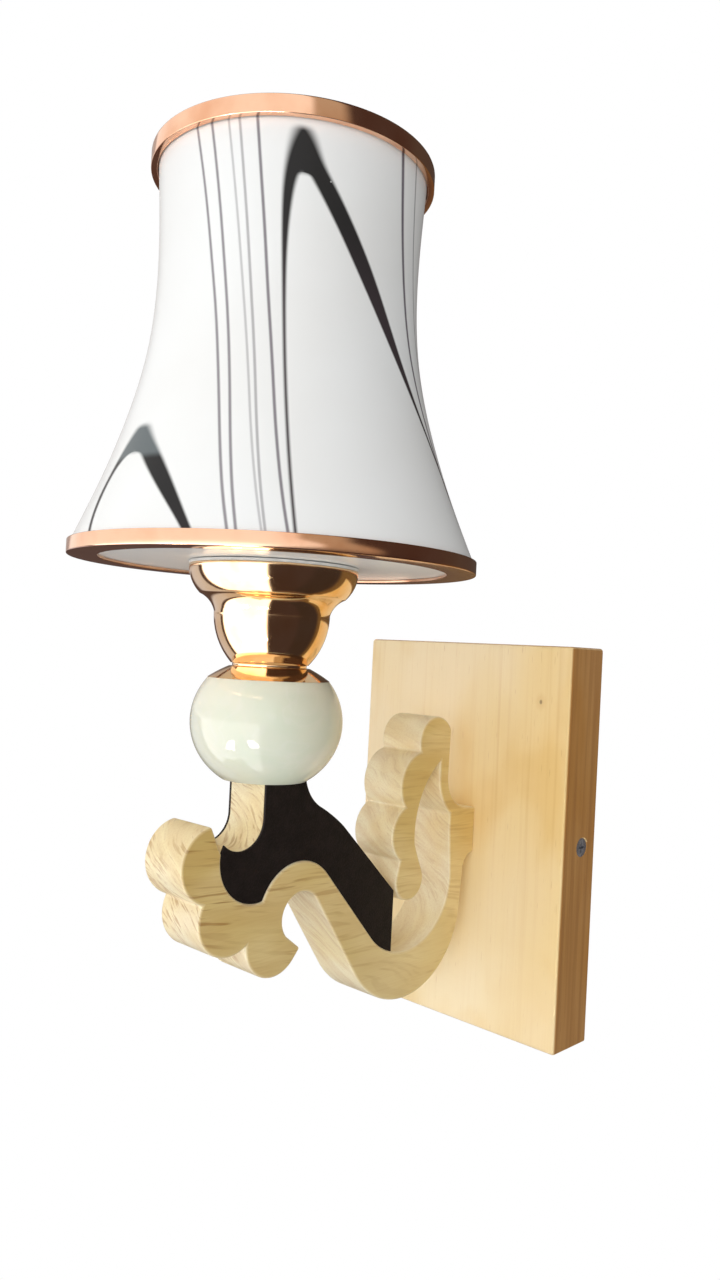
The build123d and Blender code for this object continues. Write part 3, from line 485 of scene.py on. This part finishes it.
def carvedWood(look):
    wood = Finish("carvedWood")
    place = wood.place()
    x, y, z = wood.split(place)
    drift = wood.noise(wood.stretch(place, (1, 0.35, 1)), 36, 1) - 0.5
    fromPith = ((x - look["pith"][0]) ** 2.0 + (z - look["pith"][1]) ** 2.0) ** 0.5
    layer = fromPith + drift * 0.016 + y * 0.06
    wave = wood.noise(wood.join(layer, y * 0.1, x * 0.1), 240, 1).ease(0.3, 0.7)
    dash = wood.noise(wood.join(layer, y * 0.045, (x - z) * 0.10), 900, 2, 0.5).ease(0.51, 0.64)
    patch = wood.noise(wood.stretch(place, (1, 0.5, 1)), 60, 2).ease(0.34, 0.58)
    fibre = wood.noise(wood.stretch(place, (1, 0.05, 1)), 1700, 2)
    cloud = wood.noise(wood.stretch(place, (1, 0.5, 1)), 40, 2).ease(0.3, 0.7)
    normal = wood.split(wood.add("ShaderNodeNewGeometry", out="Normal"))
    flat = abs(normal[0]).ease(0.4, 0.95)  # the sides show long grain and are yellower
    across = wood.mix(cloud, look["pale"], look["cream"])
    along = wood.mix(cloud, look["tan"], look["gold"])
    colour = wood.mix(flat, across, along)
    colour = wood.mix(wave * 0.22, colour, look["ring"])
    colour = wood.mix((fibre - 0.4).over(0) * 0.5, colour, look["ring"])
    ripe = 1 - y.ease(*look["ripe"])
    light = (1 - z.ease(*look["lowTurn"])) * (1 - ripe) * flat
    colour = wood.mix(light * 0.25, colour, look["cream"])
    dashes = dash * (0.05 + patch * (0.09 + ripe * 0.36)) * (0.66 + flat * 0.34)
    colour = wood.mix((dashes * 1.3).under(1), colour, look["ring"])
    colour = wood.mix(dashes * 0.75, colour, look["dash"])
    wornEdgeHighlight = wood.add("ShaderNodeAttribute", {"attribute_name": "wornEdgeHighlight"}, None, "Fac")
    # eased edges paler: wear and a painted highlight
    colour = wood.mix(wornEdgeHighlight * 0.15, colour, look["edge"])
    return wood.surface({
        "Base Color": colour,
        "Roughness": 0.36 + fibre * 0.14 + dashes * 0.2,
        "Specular IOR Level": 0.3,
        "Coat Weight": 0.2,
        "Coat Roughness": 0.2,
        "Normal": wood.bump(fibre * 0.3 + wave * 0.2 - dashes, 0.28, 0.0002),
    })


hide = {"dark": tone(25, 19, 18), "light": tone(42, 34, 32), "pebble": 1350}


def blackLeather(look):
    skin = Finish("blackLeather")
    place = skin.place()
    cell = skin.add("ShaderNodeTexVoronoi", {"feature": "SMOOTH_F1"},
                    {"Vector": place, "Scale": look["pebble"], "Smoothness": 0.35}, "Distance")
    crease = skin.noise(place, 240, 3, 0.6)
    wornEdgeHighlight = skin.add("ShaderNodeAttribute", {"attribute_name": "wornEdgeHighlight"}, None, "Fac")
    # eased edges paler: wear and a painted highlight
    colour = skin.mix(crease.ease(0.35, 0.75) * 0.5 + wornEdgeHighlight * 0.3, look["dark"], look["light"])
    height = crease * 0.5 - cell
    return skin.surface({
        "Base Color": colour,
        "Roughness": 0.55 + cell * 0.18,
        "Specular IOR Level": 0.3,
        "Normal": skin.bump(height, 0.45, 0.00025),
    })


def platedMetal(name, bright, deep, rough):
    metal = Finish(name)
    place = metal.place()
    smear = metal.noise(place, 60, 3)
    wipe = metal.noise(metal.stretch(place, (1, 1, 0.08)), 900, 2)
    speck = metal.noise(place, 1800, 1).ease(0.70, 0.80)
    colour = metal.mix(smear.ease(0.3, 0.8), bright, deep)
    return metal.surface({
        "Base Color": metal.mix(speck * 0.3, colour, deep),
        "Metallic": 1.0,
        "Roughness": rough + smear * 0.05 + wipe * 0.04 + speck * 0.1,
        "Normal": metal.bump(wipe * 0.5 + smear * 0.2, 0.03, 0.0001),
    })


ballGlass = {
    "pale": tone(240, 242, 224),
    "green": tone(228, 237, 216),
    # warm: the colour of the painted bounce light from the wooden plate
    "warm": tone(232, 216, 176),
    "vein": tone(246, 246, 236),
    "paintedBounceFrom": (0.004, 0.029),  # m from the axis, towards the plate: painted warm bounce light from the plate
}


def celadonGlass(look):
    glass = Finish("celadonGlass")
    place = glass.place()
    cloud = glass.noise(place, 34, 3, 0.5, 0.6)
    vein = abs(glass.noise(glass.stretch(place, (1, 1, 1.6)), 46, 2, 0.5, 1.2) - 0.5)
    colour = glass.mix(cloud.ease(0.3, 0.7), look["pale"], look["green"])
    colour = glass.mix((1 - vein.ease(0.0, 0.05)) * 0.16, colour, look["vein"])
    x, y, z = glass.split(place)
    # painted bounce light: the side towards the plate is tinted warm
    paintedBounceSide = (x + y - lampAxis * mm) * 0.7
    colour = glass.mix(paintedBounceSide.ease(*look["paintedBounceFrom"]) * 0.42, colour, look["warm"])
    return glass.surface({
        "Base Color": colour,
        "Roughness": 0.06 + cloud * 0.03,
        "Specular IOR Level": 0.42,
        "Subsurface Weight": 0.18,
        "Subsurface Radius": (0.6, 0.55, 0.4),
        "Subsurface Scale": 0.006,
        "Normal": glass.bump(cloud, 0.03, 0.0005),
    })


shade = {
    "foot": 109.2, "top": 253.8, "bore": 20.3, "wall": 3.5, "floor": 3.5,  # mm
    "lipCrown": 0.05, "heel": 1.0,  # mm, how far the lip swells and the rounding of the foot
    "outline": [(73.2, 3.8), (65.2, 22.8), (56.4, 47.8), (50.3, 72.8), (47.9, 105.8), (49.7, 144.6)],
    "milk": tone(246, 247, 246),
    "cloud": tone(242, 242, 240),
    "ink": tone(10, 6, 7),
    "smoke": tone(104, 112, 114),
    "mauve": tone(78, 58, 66),
    "thread": tone(96, 84, 96),
    # thin threads: degrees round at the top and at the foot, width in mm, strength
    "threads": [
        (6.9, 38.6, 1.1, 0.74), (14.4, 40.6, 1.1, 0.74), (22.0, 46.7, 0.9, 0.40),
        (26.7, 47.5, 1.0, 0.52), (33.9, 52.8, 1.1, 0.80), (95.8, 125.0, 1.7, 0.94),
        (107.0, 138.0, 1.1, 0.62), (128.0, 152.0, 1.0, 0.60), (137.0, 158.0, 1.0, 0.45),
        (-78.0, -52.0, 1.1, 0.74), (-71.0, -48.0, 1.0, 0.60), (-64.0, -44.0, 0.9, 0.45),
    ],
    "wander": 3.0,  # degrees, how far a thread strays
    "threadEdge": (0.15, 0.75),  # shares of a thread's width over which its edge fades
    "mauveFrom": (24, 60),  # mm below a peak's apex, where the ink turns
    "smokeTo": (11, 14),  # mm below the apex, where its smoky tip ends
    "thinBy": 34,  # mm below the apex, over which the left leg thins
    "blur": (0.6, 2.6, 10),  # mm at the foot, more at the apex, and the depth over which that fades
    "runIn": 3.0,  # degrees over which shoulder and leg run together
    "opening": 0.9,  # degrees for each mm down, how a peak's hollow opens to the right
    # brushed peaks, in degrees and mm: the middle of a leg starts somewhere, then leans and bends with the
    # depth below the apex
    "peaks": [
        {"apex": (51.0, 248.4), "shoulders": (1.75, 2.65), "inner": (52.0, 15.4), "arch": (1.2, 3.9),
         "smoke": 0.0, "left": (42.7, 0.082, 0.0), "curl": (8.0, 18.0), "thin": (0.5, 1.6),
         "right": (45.8, 0.89, -0.0019), "thick": (3.6, 1.0), "taper": (38, 94)},
        {"apex": (-2.2, 150.9), "shoulders": (2.3, 3.0), "inner": (-1.0, 10.5), "arch": (3.3, 3.5),
         "smoke": 0.9, "left": (-2.1, -0.79, 0.018), "curl": (0.0, 18.0), "thin": (0.6, 1.3),
         "right": (-4.5, 1.10, -0.0066), "thick": (4.7, 1.5), "taper": (8, 44)},
        {"apex": (-160.0, 243.0), "shoulders": (2.1, 3.0), "inner": (-159.2, 14.0), "arch": (1.3, 3.6),
         "smoke": 0.1, "left": (-168.5, 0.08, 0.0), "curl": (7.5, 18.0), "thin": (0.5, 1.8),
         "right": (-164.5, 0.78, -0.0018), "thick": (3.2, 0.9), "taper": (34, 90)},
        {"apex": (146.0, 160.0), "shoulders": (2.2, 2.6), "inner": (147.0, 10.0), "arch": (2.8, 3.0),
         "smoke": 0.7, "left": (145.8, -0.62, 0.013), "curl": (0.0, 18.0), "thin": (0.6, 1.2),
         "right": (144.0, 0.80, -0.004), "thick": (3.6, 1.2), "taper": (8, 48)},
    ],
}


def peakMark(turn, below, perDegree, peak, look):  # dark between the outer arch and the inner one
    apex, inner = peak["apex"][0], peak["inner"]
    start, lean, bow = peak["left"]
    curl, fall = peak["curl"]
    left = start + below * lean + below * below * bow + curl * e ** (below * (-1 / fall))
    start, lean, bow = peak["right"]
    right = start + below * lean + below * below * bow
    spread = below / look["thinBy"]
    halfLeft = (peak["thin"][0] + peak["thin"][1] * e ** (spread * spread * -1)) / perDegree
    thick, thinned = peak["thick"]
    halfRight = (thick + below.ease(*peak["taper"]) * (thinned - thick)) / perDegree
    root = below ** 0.5
    inside = (below - inner[1]).over(0)
    arch = inside ** 0.5
    least, more, fade = look["blur"]
    blur = (least + more * e ** (below * (-1 / fade))) / perDegree

    def within(low, high):
        return (turn - low).ease(blur * -1, blur) * (high - turn).ease(blur * -1, blur)

    def run(operation, shoulder, leg):
        return leg.do(operation, shoulder, leg, look["runIn"])
    outer = within(run("SMOOTH_MAX", apex - root * peak["shoulders"][0], left - halfLeft),
                   run("SMOOTH_MAX", apex + root * peak["shoulders"][1], right + halfRight))
    spring = inner[0] + arch * peak["arch"][1] + inside * look["opening"]
    hollow = within(run("SMOOTH_MAX", inner[0] - arch * peak["arch"][0], left + halfLeft),
                    run("SMOOTH_MIN", spring, right - halfRight))
    return outer * (1 - hollow * (below - inner[1]).ease(-1, 1.5))


def milkGlass(look):
    glass = Finish("milkGlass")
    place = glass.place()
    x, y, z = glass.split(place)
    side = x * 1000
    depth = y * 1000 - lampAxis
    height = z * 1000
    radius = (side * side + depth * depth) ** 0.5
    turn = side.do("ARCTAN2", side, 0 - depth) * (180 / pi)
    wavy = turn + (glass.noise(place, 14, 1) - 0.5) * look["wander"]
    perDegree = radius * (pi / 180)  # mm of glass for each degree
    cloud = glass.noise(place, 18, 2)
    colour = glass.mix(cloud.ease(0.3, 0.7), look["milk"], look["cloud"])
    rise = (height - look["foot"]) / (look["top"] - look["foot"])
    normal = glass.split(glass.add("ShaderNodeNewGeometry", out="Normal"))
    outside = ((normal[0] * side + normal[1] * depth) / radius).ease(-0.3, 0.3)
    offFloor = height.ease(look["foot"] + 1, look["foot"] + 4)
    upright = offFloor * (0.3 + outside * 0.7)  # plain floor, faint inside
    core, rim = look["threadEdge"]
    for atTop, atFoot, width, strength in look["threads"]:
        off = abs(wavy - (atFoot + rise * (atTop - atFoot))) * perDegree
        mark = (1 - off.ease(width * core, width * rim)) * upright
        colour = glass.mix(mark * strength, colour, look["thread"])
    marked = None
    for peak in look["peaks"]:
        apexHeight = peak["apex"][1]
        below = (apexHeight - height).over(0)
        tip = (apexHeight - height).ease(-0.5, 2.4)
        mark = peakMark(turn, below, perDegree, peak, look) * tip * upright
        ink = glass.mix(below.ease(*look["mauveFrom"]) * 0.35, look["ink"], look["mauve"])
        ink = glass.mix(peak["smoke"] * (1 - below.ease(*look["smokeTo"])), ink, look["smoke"])
        colour = glass.mix(mark * 0.97, colour, ink)
        marked = mark if marked is None else marked.over(mark)
    bubble = glass.add("ShaderNodeTexVoronoi", {"feature": "F1"},
                       {"Vector": place, "Scale": 190}, "Distance")
    seed = (1 - bubble.ease(0.03, 0.07)) * glass.noise(place, 130, 0).ease(0.60, 0.66)
    colour = glass.mix(seed * marked * 0.5, colour, look["cloud"])
    return glass.surface({
        "Base Color": colour,
        "Roughness": 0.18 + cloud * 0.10 + seed * 0.1,
        "Specular IOR Level": 0.08,
        "Normal": glass.bump(cloud + marked * 0.05, 0.04, 0.0006),
    })


def plainStock(name, base, other, scale, rough, metallic=0.0, coat=0.0, grit=0.1):
    stock = Finish(name)  # moulded, cast and drawn parts, mostly inside the lamp
    place = stock.place()
    cloud = stock.noise(place, scale, 3)
    fine = stock.noise(place, scale * 14, 2)
    return stock.surface({
        "Base Color": stock.mix(cloud.ease(0.3, 0.75), base, other),
        "Metallic": metallic,
        "Roughness": rough + (cloud - 0.5) * 0.1 + (fine - 0.5) * 0.08,
        "Coat Weight": coat,
        "Normal": stock.bump(fine, grit, 0.0001),
    })


finishes = {
    "pine": pineBoard(pine),
    "arm_wood": carvedWood(carved),
    "leather": blackLeather(hide),
    "steel": plainStock("zincSteel", tone(190, 192, 196), tone(158, 162, 168), 120, 0.38, 0.55, grit=0.12),
    "screws": plainStock("screwSteel", tone(176, 176, 180), tone(120, 120, 126), 400, 0.26, 0.5, grit=0.08),
    "rose_gold": platedMetal("roseGold", tone(252, 221, 179), tone(243, 196, 136), 0.05),
    "pale_glass": celadonGlass(ballGlass),
    "white_glass": milkGlass(shade),
    "bulb_glass": plainStock("frostedBulb", tone(244, 243, 238), tone(232, 232, 228), 40, 0.32,
                             coat=0.2, grit=0.06),
    "brass": plainStock("brassStock", tone(222, 186, 110), tone(196, 156, 82), 150, 0.26, 1.0),
    "nickel": plainStock("nickelCap", tone(206, 204, 198), tone(176, 173, 166), 220, 0.24, 1.0),
    "ceramic": plainStock("ceramicDisc", tone(236, 233, 222), tone(222, 216, 200), 90, 0.48, coat=0.1),
    "holder_plastic": plainStock("holderPlastic", tone(238, 238, 234), tone(226, 226, 222), 60, 0.36),
    "terminal_plastic": plainStock("terminalPlastic", tone(236, 236, 230), tone(224, 224, 216), 80, 0.42),
    "cable_sheath": plainStock("cableSheath", tone(238, 236, 228), tone(224, 221, 212), 200, 0.45),
    "silicone": plainStock("siliconeRing", tone(230, 230, 226), tone(216, 216, 212), 300, 0.55),
    "led_board": plainStock("ledBoard", tone(240, 226, 168), tone(232, 210, 140), 500, 0.5),
}
copper = platedMetal("copperRim", tone(246, 202, 170), tone(231, 173, 136), 0.07)
for part in frame["record"]["subparts"]:
    stock = nodes[part["node"]].data
    stock.materials.clear()
    stock.materials.append(finishes[part["material_slot"]])
print("finishes made:", len(finishes) + 1)


column = {  # mm, heights from the middle of the wall plate
    "bore": 5.05, "ballLow": 29.7, "ballHigh": 66.8,
    "ballRadius": 28.2, "ballSwell": 25.8, "ballWaist": 21.4,
    "capHigh": 71.2, "capLow": 22.6, "capBend": (19.0, 69.1), "capTop": 15.0, "wall": 1.0,
    "neckRadius": 13.8, "neckEasing": (0.4, 0.3), "cupLow": 72.4, "cupHigh": 107.9,
    "cupSide": [(14.4, 0.0), (20.5, 11.1), (21.5, 18.8), (23.4, 22.4),
                (27.0, 25.0), (30.0, 29.2), (31.4, 34.8)],
}


def ballOutline(size, steps=48):
    def at(height):
        off = (height - size["ballLow"] - size["ballWaist"]) / size["ballSwell"]
        return size["ballRadius"] * max(0.0, 1 - off * off) ** 0.5
    span = size["ballHigh"] - size["ballLow"]
    heights = [size["ballLow"] + span * (1 - cos(pi * step / steps)) / 2 for step in range(steps + 1)]
    return [(size["bore"], heights[0])] + [(at(h), h) for h in heights] + [(size["bore"], heights[-1])]


def capOutline(size):
    low, high, wall = size["ballHigh"], size["capHigh"], size["wall"]
    bend = size["capBend"]
    outer = arcThrough((size["capLow"], low), bend, (size["capTop"], high))
    inner = arcThrough((size["capLow"] - wall, low), (bend[0] - wall, bend[1] - wall / 2),
                       (size["capTop"] - wall, high - wall))
    return outer + [(size["bore"], high), (size["bore"], high - wall)] + inner[::-1]


def cupOutline(size):
    low, high, wall = size["cupLow"], size["cupHigh"], size["wall"]

    def sideLine(inset, lift):
        side = [(radius - inset, low + height) for radius, height in size["cupSide"]]
        side[0] = (side[0][0], low + lift)
        return arcThrough(*side[0:3], 18) + arcThrough(*side[2:5], 12)[1:] + arcThrough(*side[4:7], 16)[1:]
    outer = sideLine(0, 0)
    inner = sideLine(wall, wall)
    brim = size["cupSide"][-1][0]
    rolled = arcThrough((brim, high - wall / 2), (brim - wall / 2, high), (brim - wall, high - wall / 2), 6)
    return outer + rolled + inner[::-1] + [(size["bore"], low + wall), (size["bore"], low)]


def shadeOutline(size):
    foot, wall = size["foot"], size["wall"]
    outer = smoothThrough([(radius, foot + height) for radius, height in size["outline"]])
    inner = smoothThrough([(radius - wall, foot + height) for radius, height in size["outline"]])
    crown = ((outer[-1][0] + inner[-1][0]) / 2, size["top"] + size["lipCrown"])
    lip = arcThrough(outer[-1], crown, inner[-1], 6)[1:-1]
    heel = roundCorner((size["bore"], foot), (outer[0][0], foot), outer[0], size["heel"])
    floor = foot + size["floor"]
    inside = inner[::-1] + [(inner[0][0], floor), (size["bore"], floor)]
    return closed([(size["bore"], foot)] + heel + outer + lip + inside)


rims = {  # mm: radii, then heights, then the easing of the outer and of the thin edges
    "low": {"outside": 74.5, "inside": 73.5, "flange": 63.8,
            "under": 108.1, "floor": 109.1, "top": 113.1,
            "easing": 0.4, "thinEdge": 0.25, "innerEdge": 0.2},
    "high": {"outside": 52.3, "inside": 50.0, "lip": (45.6, 45.0),
             "under": 249.8, "web": 253.9, "top": 256.3,
             "easing": 1.1, "thinEdge": 0.25, "innerEdge": 0.2, "lipHigh": 0.3, "lipLow": 0.15},
}


def lowRimOutline(size):
    return roundedLoop([
        (size["flange"], size["under"], size["thinEdge"]), (size["outside"], size["under"], size["easing"]),
        (size["outside"], size["top"], size["easing"]), (size["inside"], size["top"], size["innerEdge"]),
        (size["inside"], size["floor"], 0), (size["flange"], size["floor"], size["thinEdge"]),
    ])


def highRimOutline(size):
    lipOut, lipIn = size["lip"]
    return roundedLoop([
        (size["inside"], size["under"], size["innerEdge"]),
        (size["outside"], size["under"], size["thinEdge"]),
        (size["outside"], size["top"], size["easing"]), (lipIn, size["top"], size["lipHigh"]),
        (lipIn, size["under"], size["lipLow"]), (lipOut, size["under"], size["lipLow"]),
        (lipOut, size["web"], 0), (size["inside"], size["web"], 0),
    ])


neck = column["neckRadius"]
bore = column["bore"]
neckLow, neckHigh = column["neckEasing"]
neckOutline = roundedLoop([(bore, column["capHigh"], 0), (neck, column["capHigh"], neckLow),
                           (neck, column["cupLow"], neckHigh), (bore, column["cupLow"], 0)])
turnedPieces = [
    ("ballPiece", closed(ballOutline(column)), "pale_glass", None, "root", "ball"),
    ("ballCapPiece", closed(capOutline(column)), "rose_gold", None, "root", "ball_cap"),
    ("neckRingPiece", neckOutline, "rose_gold", None, "root", "neck_ring"),
    ("cupPiece", closed(cupOutline(column)), "rose_gold", None, "root", "cup"),
    ("shadeGlassPiece", shadeOutline(shade), "white_glass", None, "shade", "shade_glass"),
    ("lowerRimPiece", lowRimOutline(rims["low"]), "rose_gold", copper, "shade", "lower_rim"),
    ("upperRimPiece", highRimOutline(rims["high"]), "rose_gold", copper, "shade", "upper_rim"),
]
for name, outline, slot, finish, body, node in turnedPieces:
    settle(turnPiece(name, outline, finish or finishes[slot]), body, node)
print("turned pieces made:", len(turnedPieces))

eased = {  # mm of rounding on the cut edges
    "arm_scroll": ("armScrollPiece", 0.9, "arm_wood"),
    "stem_board": ("stemBoardPiece", 0.5, "arm_wood"),
    "leather_right": ("leatherRightPiece", 0.3, "leather"),
    "leather_left": ("leatherLeftPiece", 0.3, "leather"),
    "back_plate": ("backPlatePiece", 0.0, "pine"),
}
for node, (name, easing, slot) in eased.items():
    settle(softCopy(node, name, finishes[slot], easing), "root", node)
print("carved pieces made:", len(eased))

studio = {
    "floor": -0.55, "span": 6.0,  # m, its height and half its length
    "floorGreys": ((0.86, 0.86, 0.86, 1), (0.9, 0.9, 0.9, 1)),
    "shadow": (0.18, 0.48),  # m out from the origin, over which the floor's shadow fades to white
    "ambient": (0.53, 0.53, 0.53, 1),
    "shaded": (0.17, 0.17, 0.17, 1),  # the room's darker right side
    "shadedFrom": (38, 46), "shadedTo": (150, 166),  # degrees round to the right
    "shadedHigh": (0.55, 0.8),  # how steeply up or down it ends
    "horizon": (-0.03, 0.05), "above": (0.06, 0.16),  # where the mirrored room's level and upper parts start
    # what polished metal mirrors, from the left round to the right: degrees where it starts on the floor,
    # level with the lamp and above, how soft, and its light on the floor and higher
    "behind": ((0.19, 0.12, 0.055, 1), (0.08, 0.06, 0.05, 1)),
    "mirrored": [
        ((-141, -141, -141), 6, (0.10, 0.065, 0.055, 1), (0.10, 0.08, 0.07, 1)),
        ((-103, -130, -118), 5, (0.66, 0.64, 0.70, 1), (0.50, 0.45, 0.43, 1)),
        ((-72, -108, -98), 2, (0.08, 0.05, 0.045, 1), (0.44, 0.38, 0.36, 1)),  # window frame
        ((-62, -99, -95), 3, (3.0, 2.85, 2.95, 1), (1.15, 1.12, 1.10, 1)),  # window
        ((40, 76, 61), 3, (0.062, 0.041, 0.040, 1), (0.52, 0.44, 0.34, 1)),
        ((104, 107, 88), 6, (0.050, 0.036, 0.034, 1), (0.075, 0.050, 0.044, 1)),
        ((152, 152, 152), 6, (0.19, 0.12, 0.055, 1), (0.08, 0.06, 0.05, 1)),
    ],
    "underneath": (0.22, 0.15, 0.12, 1),  # the floor right below the lamp
    "under": (0.14, 0.26),  # m out, where that ends
    "panes": (9, 0.63, 0.43, 0.19, 0.20),  # two bright panes: degrees, then m ahead, long, apart and wide
    "paneEdges": (0.03, 0.02),  # m, how soft their ends and sides are
    "paneLight": (34, 33, 32, 1),
    "key": {"place": (-0.42, -1.55, 0.22), "aim": (0.0, -0.10, 0.08), "size": 1.3, "watts": 4.9},
    "fill": {"place": (0.93, -1.25, 0.35), "aim": (0.0, -0.10, 0.08), "size": 1.3, "watts": 9.3},
    "top": {"place": (-0.15, -0.55, 1.30), "aim": (0.0, -0.10, 0.05), "size": 0.9, "watts": 3.6},
}


def areaLight(name, light):
    data = bpy.data.lights.new(name, "AREA")
    data.shape = "SQUARE"
    data.size = light["size"]
    data.energy = light["watts"]
    obj = bpy.data.objects.new(name, data)
    obj.location = light["place"]
    aim = Vector(light["aim"]) - Vector(light["place"])
    obj.rotation_euler = aim.to_track_quat("-Z", "Y").to_euler()
    obj.visible_glossy = False  # metal mirrors the room alone
    bpy.context.scene.collection.objects.link(obj)


def mirrored(room, across, back, rise, tall, look):  # the light that polished metal mirrors, by direction
    turn = across.do("ARCTAN2", across, back * -1) * (180 / pi)  # 0 is the front, 90 the right
    light = room.mix(rise, *look["behind"])
    for (low, level, high), soft, dull, bright in look["mirrored"]:
        start = low + rise * (level - low) + tall * (high - level)
        light = room.mix(turn.ease(start - soft, start + soft), light, room.mix(rise, dull, bright))
    return light


def paleFloor(look):
    floor = Finish("paleFloor")
    place = floor.place()
    x, y, z = floor.split(place)
    far = (x * x + y * y) ** 0.5
    grain = floor.noise(place, 30, 2)
    matt = floor.add("ShaderNodeBsdfDiffuse", None, {"Color": floor.mix(grain, *look["floorGreys"])})
    white = floor.add("ShaderNodeEmission", None, {"Color": (1, 1, 1, 1), "Strength": 1.0})
    seen = floor.add("ShaderNodeLightPath", out="Is Camera Ray")
    gloss = floor.add("ShaderNodeLightPath", out="Is Glossy Ray")
    whitened = seen * (0.45 + far.ease(*look["shadow"]) * 0.55)
    ground = floor.add("ShaderNodeMixShader", None, {0: whitened, 1: matt, 2: white})
    back = y - lampAxis * mm  # m behind the lamp's axis
    aim, near, reach, gap, side = look["panes"]
    end, edge = look["paneEdges"]
    ahead = x * sin(radians(aim)) - back * cos(radians(aim))
    aside = abs(x * cos(radians(aim)) + back * sin(radians(aim)))
    panes = ahead.ease(near, near + end) * (1 - ahead.ease(near + reach, near + reach + end))
    panes = panes * aside.ease(gap, gap + edge) * (1 - aside.ease(gap + side, gap + side + edge))
    around = mirrored(floor, x, back, z * 0, z * 0, look)
    light = floor.mix(far.ease(*look["under"]), look["underneath"], around)
    light = floor.mix(panes, light, look["paneLight"])
    dusk = floor.add("ShaderNodeEmission", None, {"Color": light, "Strength": 1.0})
    floor.finish(floor.add("ShaderNodeMixShader", None, {0: gloss, 1: ground, 2: dusk}))
    mesh = bpy.data.meshes.new("floor")
    span = look["span"]
    corners = [(-span, -span), (span, -span), (span, span), (-span, span)]
    mesh.from_pydata([(cx, cy, look["floor"]) for cx, cy in corners], [], [(0, 1, 2, 3)])
    mesh.materials.append(floor.material)
    obj = bpy.data.objects.new("floor", mesh)
    bpy.context.scene.collection.objects.link(obj)


def studioWorld(look):
    world = bpy.data.worlds.new("studio")
    world.use_nodes = True
    bpy.context.scene.world = world
    sky = Finish("studio", world.node_tree)
    way = sky.split(sky.add("ShaderNodeTexCoord", out="Generated"))
    turn = way[0].do("ARCTAN2", way[0], 0 - way[1]) * (180 / pi)
    dim = turn.ease(*look["shadedFrom"]) * (1 - turn.ease(*look["shadedTo"]))
    dim = dim * (1 - abs(way[2]).ease(*look["shadedHigh"]))
    ray = sky.add("ShaderNodeLightPath", out="Is Camera Ray")
    gloss = sky.add("ShaderNodeLightPath", out="Is Glossy Ray")
    through = sky.add("ShaderNodeLightPath", out="Is Transmission Ray")
    light = sky.mix(dim, look["ambient"], look["shaded"])
    rise, tall = way[2].ease(*look["horizon"]), way[2].ease(*look["above"])
    light = sky.mix(gloss, light, mirrored(sky, way[0], way[1], rise, tall, look))
    light = sky.mix(ray.over(through), light, (1, 1, 1, 1))
    shine = sky.add("ShaderNodeBackground", None, {"Color": light, "Strength": 1.0})
    sky.finish(shine, "ShaderNodeOutputWorld")


paleFloor(studio)
areaLight("keyLight", studio["key"])
areaLight("fillLight", studio["fill"])
areaLight("topLight", studio["top"])
studioWorld(studio)
print("stage set")
